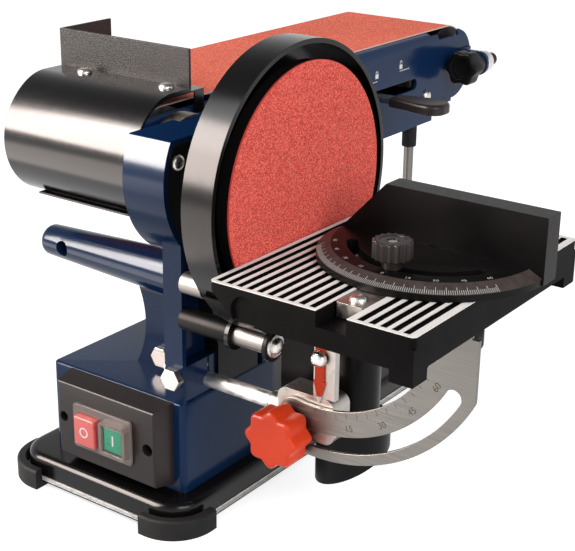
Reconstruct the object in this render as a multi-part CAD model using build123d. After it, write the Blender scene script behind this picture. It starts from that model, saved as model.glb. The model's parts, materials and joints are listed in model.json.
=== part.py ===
from build123d import *
import os
from math import cos, pi, radians, sin, sqrt, tan

# A bench sander with a 100 mm abrasive belt and a 150 mm abrasive disc, in millimetres.
# X points out of the disc, Y back along the belt, Z up. Pieces are laid out from the spindle's axis,
# in the plane of the abrasive disc; at the end all are moved so that the origin is on the floor,
# under the middle of the machine.

# Clearances
RUN = 0.05  # radial, shaft in its bore
FIT = 0.02  # radial, pieces fixed together
GAP = 0.3  # air beside a moving piece

# Spindle, disc and drums
SHAFT_HEIGHT = 228.0
SHAFT_R = 7.5
DISC_R = 75.0
PAPER_T = 1.2
PLATE_T = 8.0
PLATE_STEP = 0.5
HUB_R = 17.0
HUB_L = 13.0
HUB_FLOOR = 4.0
DRUM_R = 31.0
DRUM_WALL = 4.0
DRUM_WEB = 8.0
DRUM_HUB_R = 13.0
DRUM_HUB_L = 56.0
BELT_X1 = -112.0
BELT_W = 100.0
BELT_T = 1.0
BELT_LENGTH = 915.0
BEARING_R = 17.5
BEARING_W = 11.0
BEARING_LIP = 2.5
BEARING_SEAL = 0.8

# Bearing carrier, on which the arm swings
CARRIER_X0 = -110.0
CARRIER_SHOULDER = -100.0
CARRIER_X1 = -88.0
CARRIER_R = 30.0
JOURNAL_R = 27.0
SLEEVE_R = 22.0
SLEEVE_BORE = 13.0

# Base pan and feet
PAN_X0 = -196.0
PAN_X1 = -50.0
PAN_Y0 = -63.0
PAN_REAR = 17.6  # ahead of the idler
PAN_H = 17.0
PAN_T = 1.5
PAN_CORNER = 22.0
PAN_EDGE = 5.0
PAN_LIP = 2.5
FOOT_OUT = 6.0
FOOT_SIDE = 36.0
FOOT_H = 14.0
FOOT_SOLE = 4.0
FOOT_LEDGE = 9.0

# Housing on the pan
HOUSE_X0 = -176.0
HOUSE_Y0 = -43.0
HOUSE_Y1 = 55.0
HOUSE_H = 63.0
HOUSE_T = 2.0
HOUSE_ROUND = 4.0
HOUSE_EDGE = 2.0

# Upright: a round bell on a column, open on the disc side
UP_X1 = -62.0
UP_T = 3.5
COLUMN_DEPTH = 14.5
BELL_DEPTH = 32.0
BELL_R = 57.5
BELL_FLAT = 28.0
BOSS_R = 5.0
BACK_SCREWS = [(-49, -12), (49, -12)]

# Drive cover with the belt tunnel
COVER_T = 2.0
COVER_RIM = 2.0
COVER_SUNK = 0.6
COVER_EYE = 1.0
COVER_SCREWS = [(-44, 14), (44, 14), (33, -32)]
TUNNEL_TOP = -45.0
TUNNEL_KNEE = -115.0
TUNNEL_FRONT_TOP = -23.0
TUNNEL_FRONT = -7.7
TUNNEL_REAR = 34.0

# Toothed drive: motor, pulleys and belt
DRIVE_LEAN = 8.185  # degrees, front run of the drive belt
MOTOR_LIFT = 2.0
MOTOR_R = 27.0
MOTOR_X0 = -168.0
MOTOR_X1 = -80.0
MOTOR_SHAFT_R = 4.0
MOTOR_BORE_L = 22.0
DRIVE_X = -68.5
DRIVE_W = 6.8
DRIVE_T = 1.8
TOOTH_R = 1.15
FLANGE_T = 0.6
FLANGE_H = 2.2
BIG_TEETH = 24
BIG_R = 18.7
SMALL_TEETH = 12
SMALL_R = 9.1

# Tapered bar with a cross hole, on a web
BAR_X0 = -212.0
BAR_Y = -6.0
BAR_Z = -75.0
BAR_R0 = 10.5
BAR_R1 = 16.0
BAR_NOSE = 6.0
BAR_HOLE_X = -189.0
BAR_HOLE_R = 5.25
WEB_T = 5.0
WEB_TOP_X = -137.0
WEB_WAIST_X = -123.0
WEB_WAIST_Z = -118.0
WEB_FOOT_X = -131.0

# Table rod, its clamp and the hex bolts
ROD_R = 5.0
ROD_Y = -15.5
ROD_Z = -136.1
ROD_X0 = -98.0
ROD_X1 = 2.5
CLAMP_TOP = -120.0
CLAMP_SLIT = 1.5
CLAMP_BACK = -8.2
BOLT_R = 4.0
BOLT_AF = 13.0
BOLT_HEAD = 5.3
CLAMP_BOLT_Z = -126.3
WEB_BOLT_X = -107.0
WEB_BOLT_Z = -134.0

# Switch
SWITCH_X0 = -156.0
SWITCH_X1 = -73.0
SWITCH_LIFT = 7.5
SWITCH_H = 52.5
SWITCH_PROUD = 16.0
SWITCH_FLARE = 2.5
BEZEL_SIDE = 15.0
BEZEL_W = 50.0
BEZEL_LIFT = 10.5
BEZEL_H = 31.0
BEZEL_T = 2.0
BEZEL_RIM = 2.0
SWITCH_BODY_Y1 = -20.0
BUTTON_TRAVEL = 3.0
BUTTON_DEPTH = 13.0
BUTTON_GAP = 0.4
STOP_BOX = (5.0, 17.5, 5.0, 20.0)  # place in the bezel: side, width, lift, height
STOP_PROUD = 5.0
START_BOX = (29.5, 16.5, 7.0, 17.5)
START_PROUD = 3.5
START_FRAME = 2.6
START_FRAME_PROUD = 5.0
START_FRAME_CUT = 2.0
SWITCH_HOLES = [(4.0, 27.5), (78.0, 25.5)]  # from the box's lower corner
SWITCH_HOLE_R = 2.6

# Disc guard, dust hood and dust port
GUARD_AIR = 9.0
GUARD_T = 3.0
GUARD_X0 = -24.0
GUARD_X1 = -2.5
GUARD_EYE = 20.0
EAR_FRONT = 35.6  # washer clear of the duct
EAR_REAR = 4.3
EAR_OUT = 7.2
EAR_R = 10.0
SPACER_R = 6.5
SPACER_TOP = (46, -6)
STUD_ANGLE = -53.0
STUD_IN = 5.6
STUD_L = 16.0
WINDOW_HALF = 30.0
WINDOW_H = 18.0
HOOD_TOP = -50.0
HOOD_T = 2.0
HOOD_X0 = -20.0
HOOD_GAP = 4.0
DUCT_X = 25.0
DUCT_Y = 19.0
DUCT_R = 16.0
DUCT_Z0 = -148.0
DUCT_TOP_IN = -62.0
DUCT_TOP_OUT = -84.0
PORT_R = 23.5
PORT_BORE = 21.0
PORT_MID = -180.0
PORT_SLOPE = 28.0
PORT_TURN = 36.0

# Table, tilt pivot and quadrant
TABLE_X0 = 2.0
TABLE_X1 = 131.0
TABLE_Y0 = -95.0
TABLE_Y1 = 92.0
TABLE_TOP = -28.7
TABLE_PLATE = 6.8
TABLE_SKIRT = 20.3
TABLE_WALL = 4.5
BEVEL_TOP = 4.0
BEVEL_RUN = 18.0
SLOT_X = 81.5
SLOT_W = 19.0
SLOT_D = 9.3
SLOT_WALL = 4.0
GROOVE_W = 3.4
GROOVE_D = 1.5
GROOVE_PITCH = 6.8
GROOVE_END = 6.0
GROOVES_IN = 9
GROOVES_OUT = 5
PAD_SIDE = 14.0
PAD_DROP = 7.0
PIVOT_X = 25.8
PIVOT_Z = -42.0
PIVOT_R = 3.0
PIVOT_EYE = 6.0
POCKET_R = 9.2
POCKET_D = 2.5
LUG_R = 8.0
LUG_T = 6.0
QUAD_Y = -25.5
QUAD_T = 2.5
QUAD_IN = 83.0
QUAD_OUT = 116.5
QUAD_SLOT_R = 104.3
QUAD_SLOT_W = 10.5
QUAD_SLOT_FROM = -9.5
QUAD_SLOT_TO = 61.0
QUAD_END = -16.0
QUAD_CORNER = 11.0
QUAD_STEP_Z = -54.6
QUAD_NOSE = 6.0
QUAD_TAB_X = 110.0
QUAD_TOP = 1.5
FLANGE_Y1 = -3.0
FLANGE_Z0 = -53.0

# Table support: block on the rod, post, pointer, clamp knob
BLOCK_X0 = -13.0
BLOCK_X1 = 37.5
BLOCK_Y0 = -22.4
BLOCK_Y1 = -5.5
BLOCK_Z0 = -150.0
BLOCK_Z1 = -120.0
BLOCK_ROUND = 7.0
BOSS_OUT = 9.0
POST_T = 2.5
POST_X0 = 22.0
POST_X1 = 37.5
POST_SHOULDER = -58.0
POST_FLANGE = 4.5
POINTER_X = 27.0
POINTER_Z1 = -87.0
POINTER_Z0 = -123.5
POINTER_W = 6.0
POINTER_HEAD_W = 8.0
POINTER_HEAD_Z = -108.5
POINTER_WASHER_R = 5.3
POINTER_T = 1.6
POINTER_SCREW_Z = -93.5
KNOB_ANGLE = -10.0
KNOB_R = 19.0
KNOB_LOBES = 8
KNOB_T = 19.5
KNOB_HUB_R = 9.0
KNOB_HUB_L = 2.0
KNOB_STUD_R = 3.0
KNOB_STUD_L = 10.0

# Mitre gauge
MITRE_BAR_T = 8.4
MITRE_BAR_Y0 = -78.0
MITRE_BAR_Y1 = 70.0
MITRE_Y = 10.0
MITRE_R = 67.5
MITRE_T = 8.0
MITRE_BEVEL = 4.0
MITRE_SLOT_R = 47.0
MITRE_SLOT_W = 6.6
MITRE_SWING = 60.0
MITRE_PIN_R = 4.0
BAR_SCREW_IN = 9.0
FENCE_X0 = 13.0
FENCE_X1 = 150.0
FENCE_SLANT = 36.0
FENCE_Y0 = 7.0
FENCE_Y1 = 22.0
FENCE_TOP = 10.0
FENCE_WALL = 4.0
LOCK_R = 11.5
LOCK_H = 10.5
LOCK_FLUTES = 16
LOCK_FLUTE_R = 1.5
LOCK_STUD_R = 3.0
LOCK_COLLAR_R = 5.6
LOCK_COLLAR_H = 5.4

# Belt arm
CHEEK_FAR = 5.0
CHEEK_NEAR = 8.0
ARM_T = 2.5
ARM_BOTTOM = -24.0
ARM_BEND = 7.0
ARM_FRONT_OUT = 5.0
ARM_REAR_IN = 2.0
ARM_REAR_Z = 2.0
PLATEN_FRONT = 14.0  # behind the drum
PLATEN_REAR = 4.6  # ahead of the roller
NOTCH_FRONT = 25.6  # ahead of the idler
NOTCH_REAR = 6.4
NOTCH_D = 6.0
LEVER_SLOT_FRONT = 14.0
LEVER_SLOT_REAR = 61.0
LEVER_SLOT_H = 9.0
TRAY_T = 1.5
TRAY_Y0 = 70.0
TRAY_REAR = 26.6  # ahead of the idler
TRAY_TAIL_L = 31.0
TRAY_TAIL_RISE = 11.0
TRAY_AIR = 9.7  # under the belt
TRAY_TOP = -12.0
TRAY_SCREW_FRONT = 30.0
TRAY_SCREW_REAR = 16.0
TRAY_SCREW_Z = -18.0

# Tension lever, fork and idler
LEVER_SIDE = 4.0  # off the belt's middle
LEVER_AHEAD = 119.6  # ahead of the idler
LEVER_Z = -5.0
LEVER_T = 5.0
LEVER_HUB_R = 10.0
LEVER_NOSE = 11.0
LEVER_NOSE_R = 4.0
LEVER_W = 9.0
LEVER_PIN_R = 4.0
GRIP_OUT = 16.0
GRIP_L = 46.0
GRIP_W0 = 13.0
GRIP_W1 = 26.0
GRIP_FLARE = 28.0
GRIP_ROUND = 11.0
GRIP_T = 8.0
TENSION_TRAVEL = 2.5
FORK_L = 61.6
FORK_T = 2.0
FORK_H = 18.0
FORK_SIDE = 1.7
AXLE_R = 6.0
PUSH_R = 4.0
PUSH_TIP_R = 2.5
PUSH_GAP = 2.8
PUSH_COLLAR_R = 9.0
SPRING_ROOM = 34.0
SPRING_R = 6.5
SPRING_WIRE = 0.9
SPRING_TURNS = 6
IDLER_SIDE = 0.5
IDLER_BEARING_R = 14.0
IDLER_BEARING_W = 8.0

# Tracking knob
TRACK_OUT = 18.0
TRACK_Z = 3.0
TRACK_AHEAD = 20.6
TRACK_KNOB_R = 14.5
TRACK_KNOB_L = 27.0
TRACK_LOBE_L = 14.0
TRACK_NECK_R = 9.0
TRACK_LOBES = 6
TRACK_CUP = 5.0
TRACK_LUG_BACK = 8.4
TRACK_LUG_T = 3.5
TRACK_LUG_H = 20.0
TRACK_SCREW_R = 3.0
TRACK_COLLAR_R = 9.0
TRACK_COLLAR_L = 9.0
TRACK_TAIL_R = 5.5
TRACK_TAIL_L = 12.0
TRACK_PLATE_T = 2.0

# Drum cover and stop fence
SHROUD_AIR = 6.1
SHROUD_T = 1.2
SHROUD_SIDE = 3.0
SHROUD_REAR = 30.0
SHROUD_END = 62.0
LIP_FAR = 15.0
LIP_NEAR = 17.2
LIP_W = 7.0
TAB_Y0 = 21.0
TAB_DROP = 13.0
STOP_SIDE = 1.0
STOP_Y = 17.0
STOP_T = 2.0
STOP_H = 26.4
STOP_FOOT_Y = 0.0
STOP_WING_Y = 65.0
FENCE_SCREW_FAR = 32.0
FENCE_SCREW_NEAR = 11.0
FENCE_SCREW_Y = 7.5

# Support rod under the arm
PROP_IN = 11.0
PROP_AHEAD = 47.6
PROP_R = 4.0
PROP_NUT_H = 6.5
CAP_R = 6.0
CAP_L = 18.0
CAP_TOP_T = 5.0

# Screws and gland
SCREW_HEAD_R = 4.8
SCREW_HEAD_H = 3.2
SCREW_R = 2.0
SCREW_L = 7.0
WASHER_R = 7.5
WASHER_T = 1.2
GLAND_X = -150.0
GLAND_LIFT = 32.0
GLAND_R = 8.0
GLAND_L = 12.0
GLAND_BORE = 3.5

# Values that follow
FLOOR = -SHAFT_HEIGHT
PAN_BOTTOM = FLOOR + FOOT_SOLE
PAN_TOP = PAN_BOTTOM + PAN_H
HOUSE_TOP = PAN_TOP + HOUSE_H
COLUMN_X0 = UP_X1 - COLUMN_DEPTH
COLUMN_IN = COLUMN_X0 + UP_T
COLUMN_HALF = -HOUSE_Y0
BELL_X0 = UP_X1 - BELL_DEPTH
COVER_X0 = UP_X1 - COVER_T
BELT_X0 = BELT_X1 - BELT_W
BELT_X = (BELT_X0 + BELT_X1) / 2
BELT_IN = DRUM_R + GAP
IDLER_Y = BELT_LENGTH / 2 - pi * (BELT_IN + BELT_T / 2)
PAN_Y1 = IDLER_Y - PAN_REAR
MOTOR_Z = PAN_TOP + MOTOR_LIFT + MOTOR_R
MOTOR_Y = -MOTOR_Z * tan(radians(DRIVE_LEAN)) - BIG_R + SMALL_R
GLAND_Z = PAN_TOP + GLAND_LIFT
ARM_X0 = BELT_X0 - CHEEK_FAR
ARM_X1 = BELT_X1 + CHEEK_NEAR
ARM_TOP = DRUM_R
ARM_FRONT_R = DRUM_R + ARM_FRONT_OUT
ARM_REAR_R = DRUM_R - ARM_REAR_IN
PLATEN_Y0 = DRUM_R + PLATEN_FRONT
PLATEN_Y1 = IDLER_Y - DRUM_R - PLATEN_REAR
SWITCH_Y = HOUSE_Y0 - SWITCH_PROUD
SWITCH_Z0 = PAN_TOP + SWITCH_LIFT
BEZEL_X0 = SWITCH_X0 + BEZEL_SIDE
BEZEL_X1 = BEZEL_X0 + BEZEL_W
BEZEL_Z0 = SWITCH_Z0 + BEZEL_LIFT
BEZEL_Z1 = BEZEL_Z0 + BEZEL_H
GUARD_R = DISC_R + GUARD_AIR + GUARD_T
EAR_Y = [DUCT_Y - DUCT_R - WASHER_R - EAR_FRONT, DUCT_Y + DUCT_R + WASHER_R + EAR_REAR]
GUARD_EARS = [(y, -sqrt((GUARD_R + EAR_OUT) ** 2 - y**2)) for y in EAR_Y]
STUD_AT = (
    (GUARD_R - STUD_IN) * sin(radians(STUD_ANGLE)),
    -(GUARD_R - STUD_IN) * cos(radians(STUD_ANGLE)),
)
TABLE_UNDER = TABLE_TOP - TABLE_PLATE
TABLE_LOW = TABLE_TOP - TABLE_SKIRT
KNOB_X = PIVOT_X + QUAD_SLOT_R * sin(radians(KNOB_ANGLE))
KNOB_Z = PIVOT_Z - QUAD_SLOT_R * cos(radians(KNOB_ANGLE))
POST_Y = BLOCK_Y0
LUG_Y = POST_Y + POST_T + GAP
MITRE_Z = TABLE_TOP + GAP
MITRE_TOP = MITRE_Z + MITRE_T
LOCK_Y = MITRE_Y - MITRE_SLOT_R
TRAY_X0 = ARM_X0 + ARM_T + GAP
TRAY_X1 = ARM_X1 - ARM_T - GAP
TRAY_Y1 = IDLER_Y - TRAY_REAR
TRAY_BOTTOM = -BELT_IN - BELT_T - TRAY_AIR
TRAY_SCREWS = [TRAY_Y0 + TRAY_SCREW_FRONT, TRAY_Y1 - TRAY_SCREW_REAR]
LEVER_X = BELT_X + LEVER_SIDE
LEVER_Y = IDLER_Y - LEVER_AHEAD
GRIP_X0 = ARM_X1 + GRIP_OUT
FORK_X0 = TRAY_X0
FORK_X1 = TRAY_X1 - FORK_SIDE
FORK_Y0 = IDLER_Y - FORK_L
PUSH_Y = LEVER_Y + LEVER_NOSE + LEVER_NOSE_R + PUSH_GAP
PUSH_COLLAR_Y = FORK_Y0 - SPRING_ROOM
TRACK_X = ARM_X1 + TRACK_OUT
TRACK_LUG_Y = IDLER_Y + TRACK_LUG_BACK
SHROUD_R = BELT_IN + BELT_T + SHROUD_AIR + SHROUD_T
SHROUD_X0 = ARM_X0 + SHROUD_SIDE
SHROUD_X1 = ARM_X1 + SHROUD_T
STOP_X0 = ARM_X0 + STOP_SIDE
STOP_TOP = SHROUD_R + STOP_H
FENCE_SCREWS = [ARM_X0 + FENCE_SCREW_FAR, ARM_X1 - FENCE_SCREW_NEAR]
PROP_X = ARM_X1 - PROP_IN
PROP_Y = IDLER_Y - PROP_AHEAD
HOOD_FRONT = HOOD_GAP + HOOD_T + 0.5


def block(x0, x1, y0, y1, z0, z1):
    """Box between two corners."""
    return Pos((x0 + x1) / 2, (y0 + y1) / 2, (z0 + z1) / 2) * Box(x1 - x0, y1 - y0, z1 - z0)


def along_x(sketch, x0, x1):
    """Profile drawn in Y and Z, run along X."""
    return extrude(Plane.YZ.offset(x0) * sketch, x1 - x0)


def along_y(sketch, y0, y1):
    """Profile drawn in X and Z, run along Y."""
    return extrude(Plane((0, y1, 0), x_dir=(1, 0, 0), z_dir=(0, -1, 0)) * sketch, y1 - y0)


def along_z(sketch, z0, z1):
    """Profile drawn in X and Y, run along Z."""
    return extrude(Plane.XY.offset(z0) * sketch, z1 - z0)


def rod_x(radius, x0, x1, y=0, z=0):
    return along_x(Pos(y, z) * Circle(radius), x0, x1)


def rod_y(radius, y0, y1, x, z):
    return along_y(Pos(x, z) * Circle(radius), y0, y1)


def rod_z(radius, z0, z1, x, y):
    return along_z(Pos(x, y) * Circle(radius), z0, z1)


def turned(points):
    """Body of revolution about X from (x, radius) points."""
    return revolve(make_face(Polyline([(x, 0, r) for x, r in points], close=True)), Axis.X)


def span(a0, a1, b0, b1):
    """Rectangle between two corners of a sketch."""
    return Pos((a0 + a1) / 2, (b0 + b1) / 2) * Rectangle(a1 - a0, b1 - b0)


def polygon(*points):
    return make_face(Polyline(*points, close=True))


def loop(r0, r1, y1, z1):
    """Outline of a belt round the spindle (radius r0) and a second axis (radius r1)."""
    return make_hull(Circle(r0).edges() + (Pos(y1, z1) * Circle(r1)).edges())


def toothed(teeth, radius):
    """Pulley outline with round tooth gaps."""
    return Circle(radius) - PolarLocations(radius + TOOTH_R / 4, teeth) * Circle(TOOTH_R)


def lobed(radius, lobes, depth):
    """Grip outline with round hollows between its lobes."""
    hollow = 1.25 * radius * sin(pi / lobes)
    outline = Circle(radius) - PolarLocations(radius + hollow - depth, lobes) * Circle(hollow)
    return fillet(outline.vertices(), radius / lobes)


def screw_x(x, y, z):
    """Pan head screw driven towards -X, its head seated at x."""
    head = rod_x(SCREW_HEAD_R, x, x + SCREW_HEAD_H, y, z)
    head = chamfer(head.faces().sort_by(Axis.X)[-1].edges(), SCREW_HEAD_H / 3)
    return head + rod_x(SCREW_R, x - SCREW_L, x, y, z)


def screw_z(x, y, seat, low):
    """Pan head screw driven downwards, its head at the seat and its end at low."""
    head = rod_z(SCREW_HEAD_R, seat, seat + SCREW_HEAD_H, x, y)
    head = chamfer(head.faces().sort_by(Axis.Z)[-1].edges(), SCREW_HEAD_H / 3)
    return head + rod_z(SCREW_R, low, seat, x, y)


def bearing(x0, outer, bore, width):
    """Sealed ball bearing with sunken seals."""
    inner_lip = bore + BEARING_LIP
    outer_lip = outer - BEARING_LIP
    x1 = x0 + width
    ring = rod_x(outer, x0, x1) - rod_x(bore, x0, x1)
    groove = rod_x(outer_lip, x0, x1) - rod_x(inner_lip, x0, x1)
    seals = groove & block(x0 + BEARING_SEAL, x1 - BEARING_SEAL, -outer, outer, -outer, outer)
    return ring - groove + seals


def pan_outline(grow):
    outline = RectangleRounded(PAN_X1 - PAN_X0 + 2 * grow, PAN_Y1 - PAN_Y0 + 2 * grow, PAN_CORNER + grow)
    return Pos((PAN_X0 + PAN_X1) / 2, (PAN_Y0 + PAN_Y1) / 2) * outline


def bell_outline(inset):
    radius = BELL_R - inset
    return Circle(radius) - Pos(0, BELL_FLAT - inset + radius) * Rectangle(2 * radius, 2 * radius)


def tunnel_outline(inset):
    return polygon(
        (TUNNEL_FRONT_TOP + inset, TUNNEL_TOP),
        (TUNNEL_FRONT + inset, TUNNEL_KNEE),
        (TUNNEL_FRONT + inset, HOUSE_TOP + GAP),
        (TUNNEL_REAR - inset, HOUSE_TOP + GAP),
        (TUNNEL_REAR - inset, TUNNEL_TOP),
    )


def base_pan():
    """Pressed sheet pan, open below, with a turned-out lip."""
    outer = along_z(pan_outline(0), PAN_BOTTOM, PAN_TOP)
    outer = fillet(outer.faces().sort_by(Axis.Z)[-1].edges(), PAN_EDGE)
    inner = along_z(pan_outline(-PAN_T), PAN_BOTTOM, PAN_TOP - PAN_T)
    inner = fillet(inner.faces().sort_by(Axis.Z)[-1].edges(), PAN_EDGE - PAN_T)
    lip = along_z(pan_outline(PAN_LIP) - pan_outline(-PAN_T), PAN_BOTTOM, PAN_BOTTOM + PAN_T)
    return outer - inner + lip


def rubber_feet():
    """Four corner feet that wrap the pan's lip."""
    band = along_z(pan_outline(PAN_LIP + FOOT_OUT), FLOOR, FLOOR + FOOT_H)
    band = fillet(band.faces().sort_by(Axis.Z)[-1].edges(), FOOT_SOLE / 2)
    band -= along_z(pan_outline(PAN_LIP + FIT), PAN_BOTTOM, FLOOR + FOOT_H)
    band -= along_z(pan_outline(-FOOT_LEDGE), FLOOR, PAN_BOTTOM)
    out = PAN_LIP + FOOT_OUT
    feet = []
    for x0 in (PAN_X0 - out, PAN_X1 + out - FOOT_SIDE):
        for y0 in (PAN_Y0 - out, PAN_Y1 + out - FOOT_SIDE):
            feet.append(band & block(x0, x0 + FOOT_SIDE, y0, y0 + FOOT_SIDE, FLOOR, FLOOR + FOOT_H))
    return feet


def base_housing():
    """Sheet box over the motor, open below, with the drive opening, switch opening and gland hole."""
    width = UP_X1 - HOUSE_X0
    depth = HOUSE_Y1 - HOUSE_Y0
    middle = Pos((HOUSE_X0 + UP_X1) / 2, (HOUSE_Y0 + HOUSE_Y1) / 2)
    outer = along_z(middle * RectangleRounded(width, depth, HOUSE_ROUND), PAN_TOP, HOUSE_TOP)
    outer = fillet(outer.faces().sort_by(Axis.Z)[-1].edges(), HOUSE_EDGE)
    shrunk = RectangleRounded(width - 2 * HOUSE_T, depth - 2 * HOUSE_T, HOUSE_ROUND - HOUSE_T)
    box = outer - along_z(middle * shrunk, PAN_TOP, HOUSE_TOP - HOUSE_T)
    box -= block(
        COLUMN_IN, COVER_X0, TUNNEL_FRONT + COVER_T, TUNNEL_REAR - COVER_T,
        HOUSE_TOP - HOUSE_T, HOUSE_TOP,
    )
    box -= block(
        BEZEL_X0 + BEZEL_RIM - FIT, BEZEL_X1 - BEZEL_RIM + FIT, HOUSE_Y0, HOUSE_Y0 + HOUSE_T,
        BEZEL_Z0 + BEZEL_RIM - FIT, BEZEL_Z1 - BEZEL_RIM + FIT,
    )
    return box - rod_y(GLAND_R / 2 + FIT, HOUSE_Y1 - HOUSE_T, HOUSE_Y1, GLAND_X, GLAND_Z)


def drive_upright():
    """Cast bell and column, hollow towards the disc."""
    column = span(-COLUMN_HALF, COLUMN_HALF, HOUSE_TOP, 0)
    hollow = span(UP_T - COLUMN_HALF, COLUMN_HALF - UP_T, HOUSE_TOP, 0)
    body = along_x(bell_outline(0), BELL_X0, UP_X1) + along_x(column, COLUMN_X0, UP_X1)
    body -= along_x(bell_outline(UP_T), BELL_X0 + UP_T, UP_X1)
    body -= along_x(hollow, COLUMN_IN, UP_X1)
    for y, z in COVER_SCREWS:
        body += rod_x(BOSS_R, BELL_X0 + UP_T, COVER_X0, y, z)
        body -= rod_x(SCREW_R + FIT, UP_X1 - SCREW_L - COVER_T, UP_X1, y, z)
    for y, z in BACK_SCREWS:
        body -= rod_x(SCREW_R + FIT, BELL_X0, BELL_X0 + UP_T, y, z)
    body -= rod_x(CARRIER_R + FIT, BELL_X0, CARRIER_X1 + GAP)
    body -= rod_x(ROD_R + GAP, COLUMN_X0, COLUMN_IN, ROD_Y, ROD_Z)
    return body - rod_y(BOLT_R + FIT, HOUSE_Y0, HOUSE_Y0 + UP_T, (COLUMN_IN + COVER_X0) / 2, CLAMP_BOLT_Z)


def bar_and_web():
    """Tapered bar with a cross hole, carried by a web with a hollow edge."""
    bar = turned([(COLUMN_X0, 0), (COLUMN_X0, BAR_R1), (BAR_X0, BAR_R0), (BAR_X0, 0)])
    bar = fillet(bar.edges().filter_by(GeomType.CIRCLE).sort_by(Axis.X)[0], BAR_NOSE)
    bar = Pos(0, BAR_Y, BAR_Z) * bar
    edge = ThreePointArc((WEB_TOP_X, BAR_Z), (WEB_WAIST_X, WEB_WAIST_Z), (WEB_FOOT_X, HOUSE_TOP))
    outline = Polyline(
        (WEB_FOOT_X, HOUSE_TOP), (COLUMN_X0, HOUSE_TOP), (COLUMN_X0, BAR_Z), (WEB_TOP_X, BAR_Z)
    )
    web = along_y(make_face(edge.edges() + outline.edges()), BAR_Y - WEB_T / 2, BAR_Y + WEB_T / 2)
    body = bar + web
    body -= rod_y(BOLT_R + FIT, BAR_Y - WEB_T, BAR_Y + WEB_T, WEB_BOLT_X, WEB_BOLT_Z)
    return body - rod_y(BAR_HOLE_R, BAR_Y - BAR_R1, BAR_Y + BAR_R1, BAR_HOLE_X, BAR_Z)


def drive_cover():
    """Lid of the bell with the belt tunnel below it."""
    lid = along_x(bell_outline(UP_T + FIT), COVER_X0, UP_X1)
    tunnel = along_x(tunnel_outline(0), COLUMN_IN, UP_X1)
    tunnel -= along_x(tunnel_outline(COVER_T), COLUMN_IN, COVER_X0)
    tunnel -= rod_x(BELL_R - UP_T, COLUMN_IN, COVER_X0)
    lid = lid + tunnel - rod_x(SHAFT_R + COVER_EYE, COVER_X0, UP_X1)
    lid -= along_x(bell_outline(UP_T + COVER_RIM), UP_X1 - COVER_SUNK, UP_X1)
    for y, z in COVER_SCREWS:
        lid -= rod_x(SCREW_R + FIT, COVER_X0, UP_X1, y, z)
    return lid


def bearing_carrier():
    """Turned carrier: journal for the arm, shoulder in the bell, sleeve with both bearing seats."""
    body = rod_x(JOURNAL_R, CARRIER_X0, CARRIER_SHOULDER) + rod_x(CARRIER_R, CARRIER_SHOULDER, CARRIER_X1)
    body += rod_x(SLEEVE_R, CARRIER_X1, CARRIER_X1 + BEARING_W)
    body -= rod_x(SLEEVE_BORE, CARRIER_X0, CARRIER_X1 + BEARING_W)
    body -= rod_x(BEARING_R + FIT, CARRIER_X0, CARRIER_X0 + BEARING_W)
    return body - rod_x(BEARING_R + FIT, CARRIER_X1, CARRIER_X1 + BEARING_W)


def spindle_bearings():
    return [bearing(x0, BEARING_R, SHAFT_R + RUN, BEARING_W) for x0 in (CARRIER_X0, CARRIER_X1)]


def spindle_shaft():
    shaft = rod_x(SHAFT_R, ARM_X0, -PAPER_T - HUB_FLOOR)
    return chamfer(shaft.edges().filter_by(GeomType.CIRCLE), 1)


def pulley(teeth, radius, bore):
    """Flanged toothed pulley."""
    half = DRIVE_W / 2 + GAP
    body = along_x(toothed(teeth, radius), DRIVE_X - half, DRIVE_X + half)
    for x0 in (DRIVE_X - half - FLANGE_T, DRIVE_X + half):
        body += rod_x(radius + FLANGE_H, x0, x0 + FLANGE_T)
    return body - rod_x(bore + FIT, DRIVE_X - half - FLANGE_T, DRIVE_X + half + FLANGE_T)


def driven_pulley():
    return pulley(BIG_TEETH, BIG_R, SHAFT_R)


def motor_pulley():
    return Pos(0, MOTOR_Y, MOTOR_Z) * pulley(SMALL_TEETH, SMALL_R, MOTOR_SHAFT_R)


def toothed_belt():
    outer = loop(BIG_R + GAP + DRIVE_T, SMALL_R + GAP + DRIVE_T, MOTOR_Y, MOTOR_Z)
    inner = loop(BIG_R + GAP, SMALL_R + GAP, MOTOR_Y, MOTOR_Z)
    return along_x(outer - inner, DRIVE_X - DRIVE_W / 2, DRIVE_X + DRIVE_W / 2)


def motor_body():
    """Motor can with end flange, standing on the pan."""
    can = rod_x(MOTOR_R, MOTOR_X0, MOTOR_X1 - PLATE_T, MOTOR_Y, MOTOR_Z)
    can = chamfer(can.edges().filter_by(GeomType.CIRCLE).sort_by(Axis.X)[0], 4)
    flange = block(
        MOTOR_X1 - PLATE_T, MOTOR_X1, MOTOR_Y - MOTOR_R, MOTOR_Y + MOTOR_R, PAN_TOP, MOTOR_Z + MOTOR_R + 1
    )
    flange = fillet(flange.edges().filter_by(Axis.X).group_by(Axis.Z)[-1], MOTOR_R / 2)
    return can + flange - rod_x(MOTOR_SHAFT_R + RUN, MOTOR_X1 - MOTOR_BORE_L, MOTOR_X1, MOTOR_Y, MOTOR_Z)


def motor_shaft():
    end = DRIVE_X + DRIVE_W / 2 + GAP + FLANGE_T
    return rod_x(MOTOR_SHAFT_R, MOTOR_X1 - MOTOR_BORE_L + GAP, end, MOTOR_Y, MOTOR_Z)


def drive_drum():
    """Hollow drum on one web and a hub."""
    body = rod_x(DRUM_R, BELT_X0, BELT_X1) - rod_x(DRUM_R - DRUM_WALL, BELT_X0, BELT_X1)
    body += rod_x(DRUM_R - DRUM_WALL, BELT_X - DRUM_WEB / 2, BELT_X + DRUM_WEB / 2)
    body += rod_x(DRUM_HUB_R, BELT_X - DRUM_HUB_L / 2, BELT_X + DRUM_HUB_L / 2)
    return body - rod_x(SHAFT_R + FIT, BELT_X0, BELT_X1)


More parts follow.
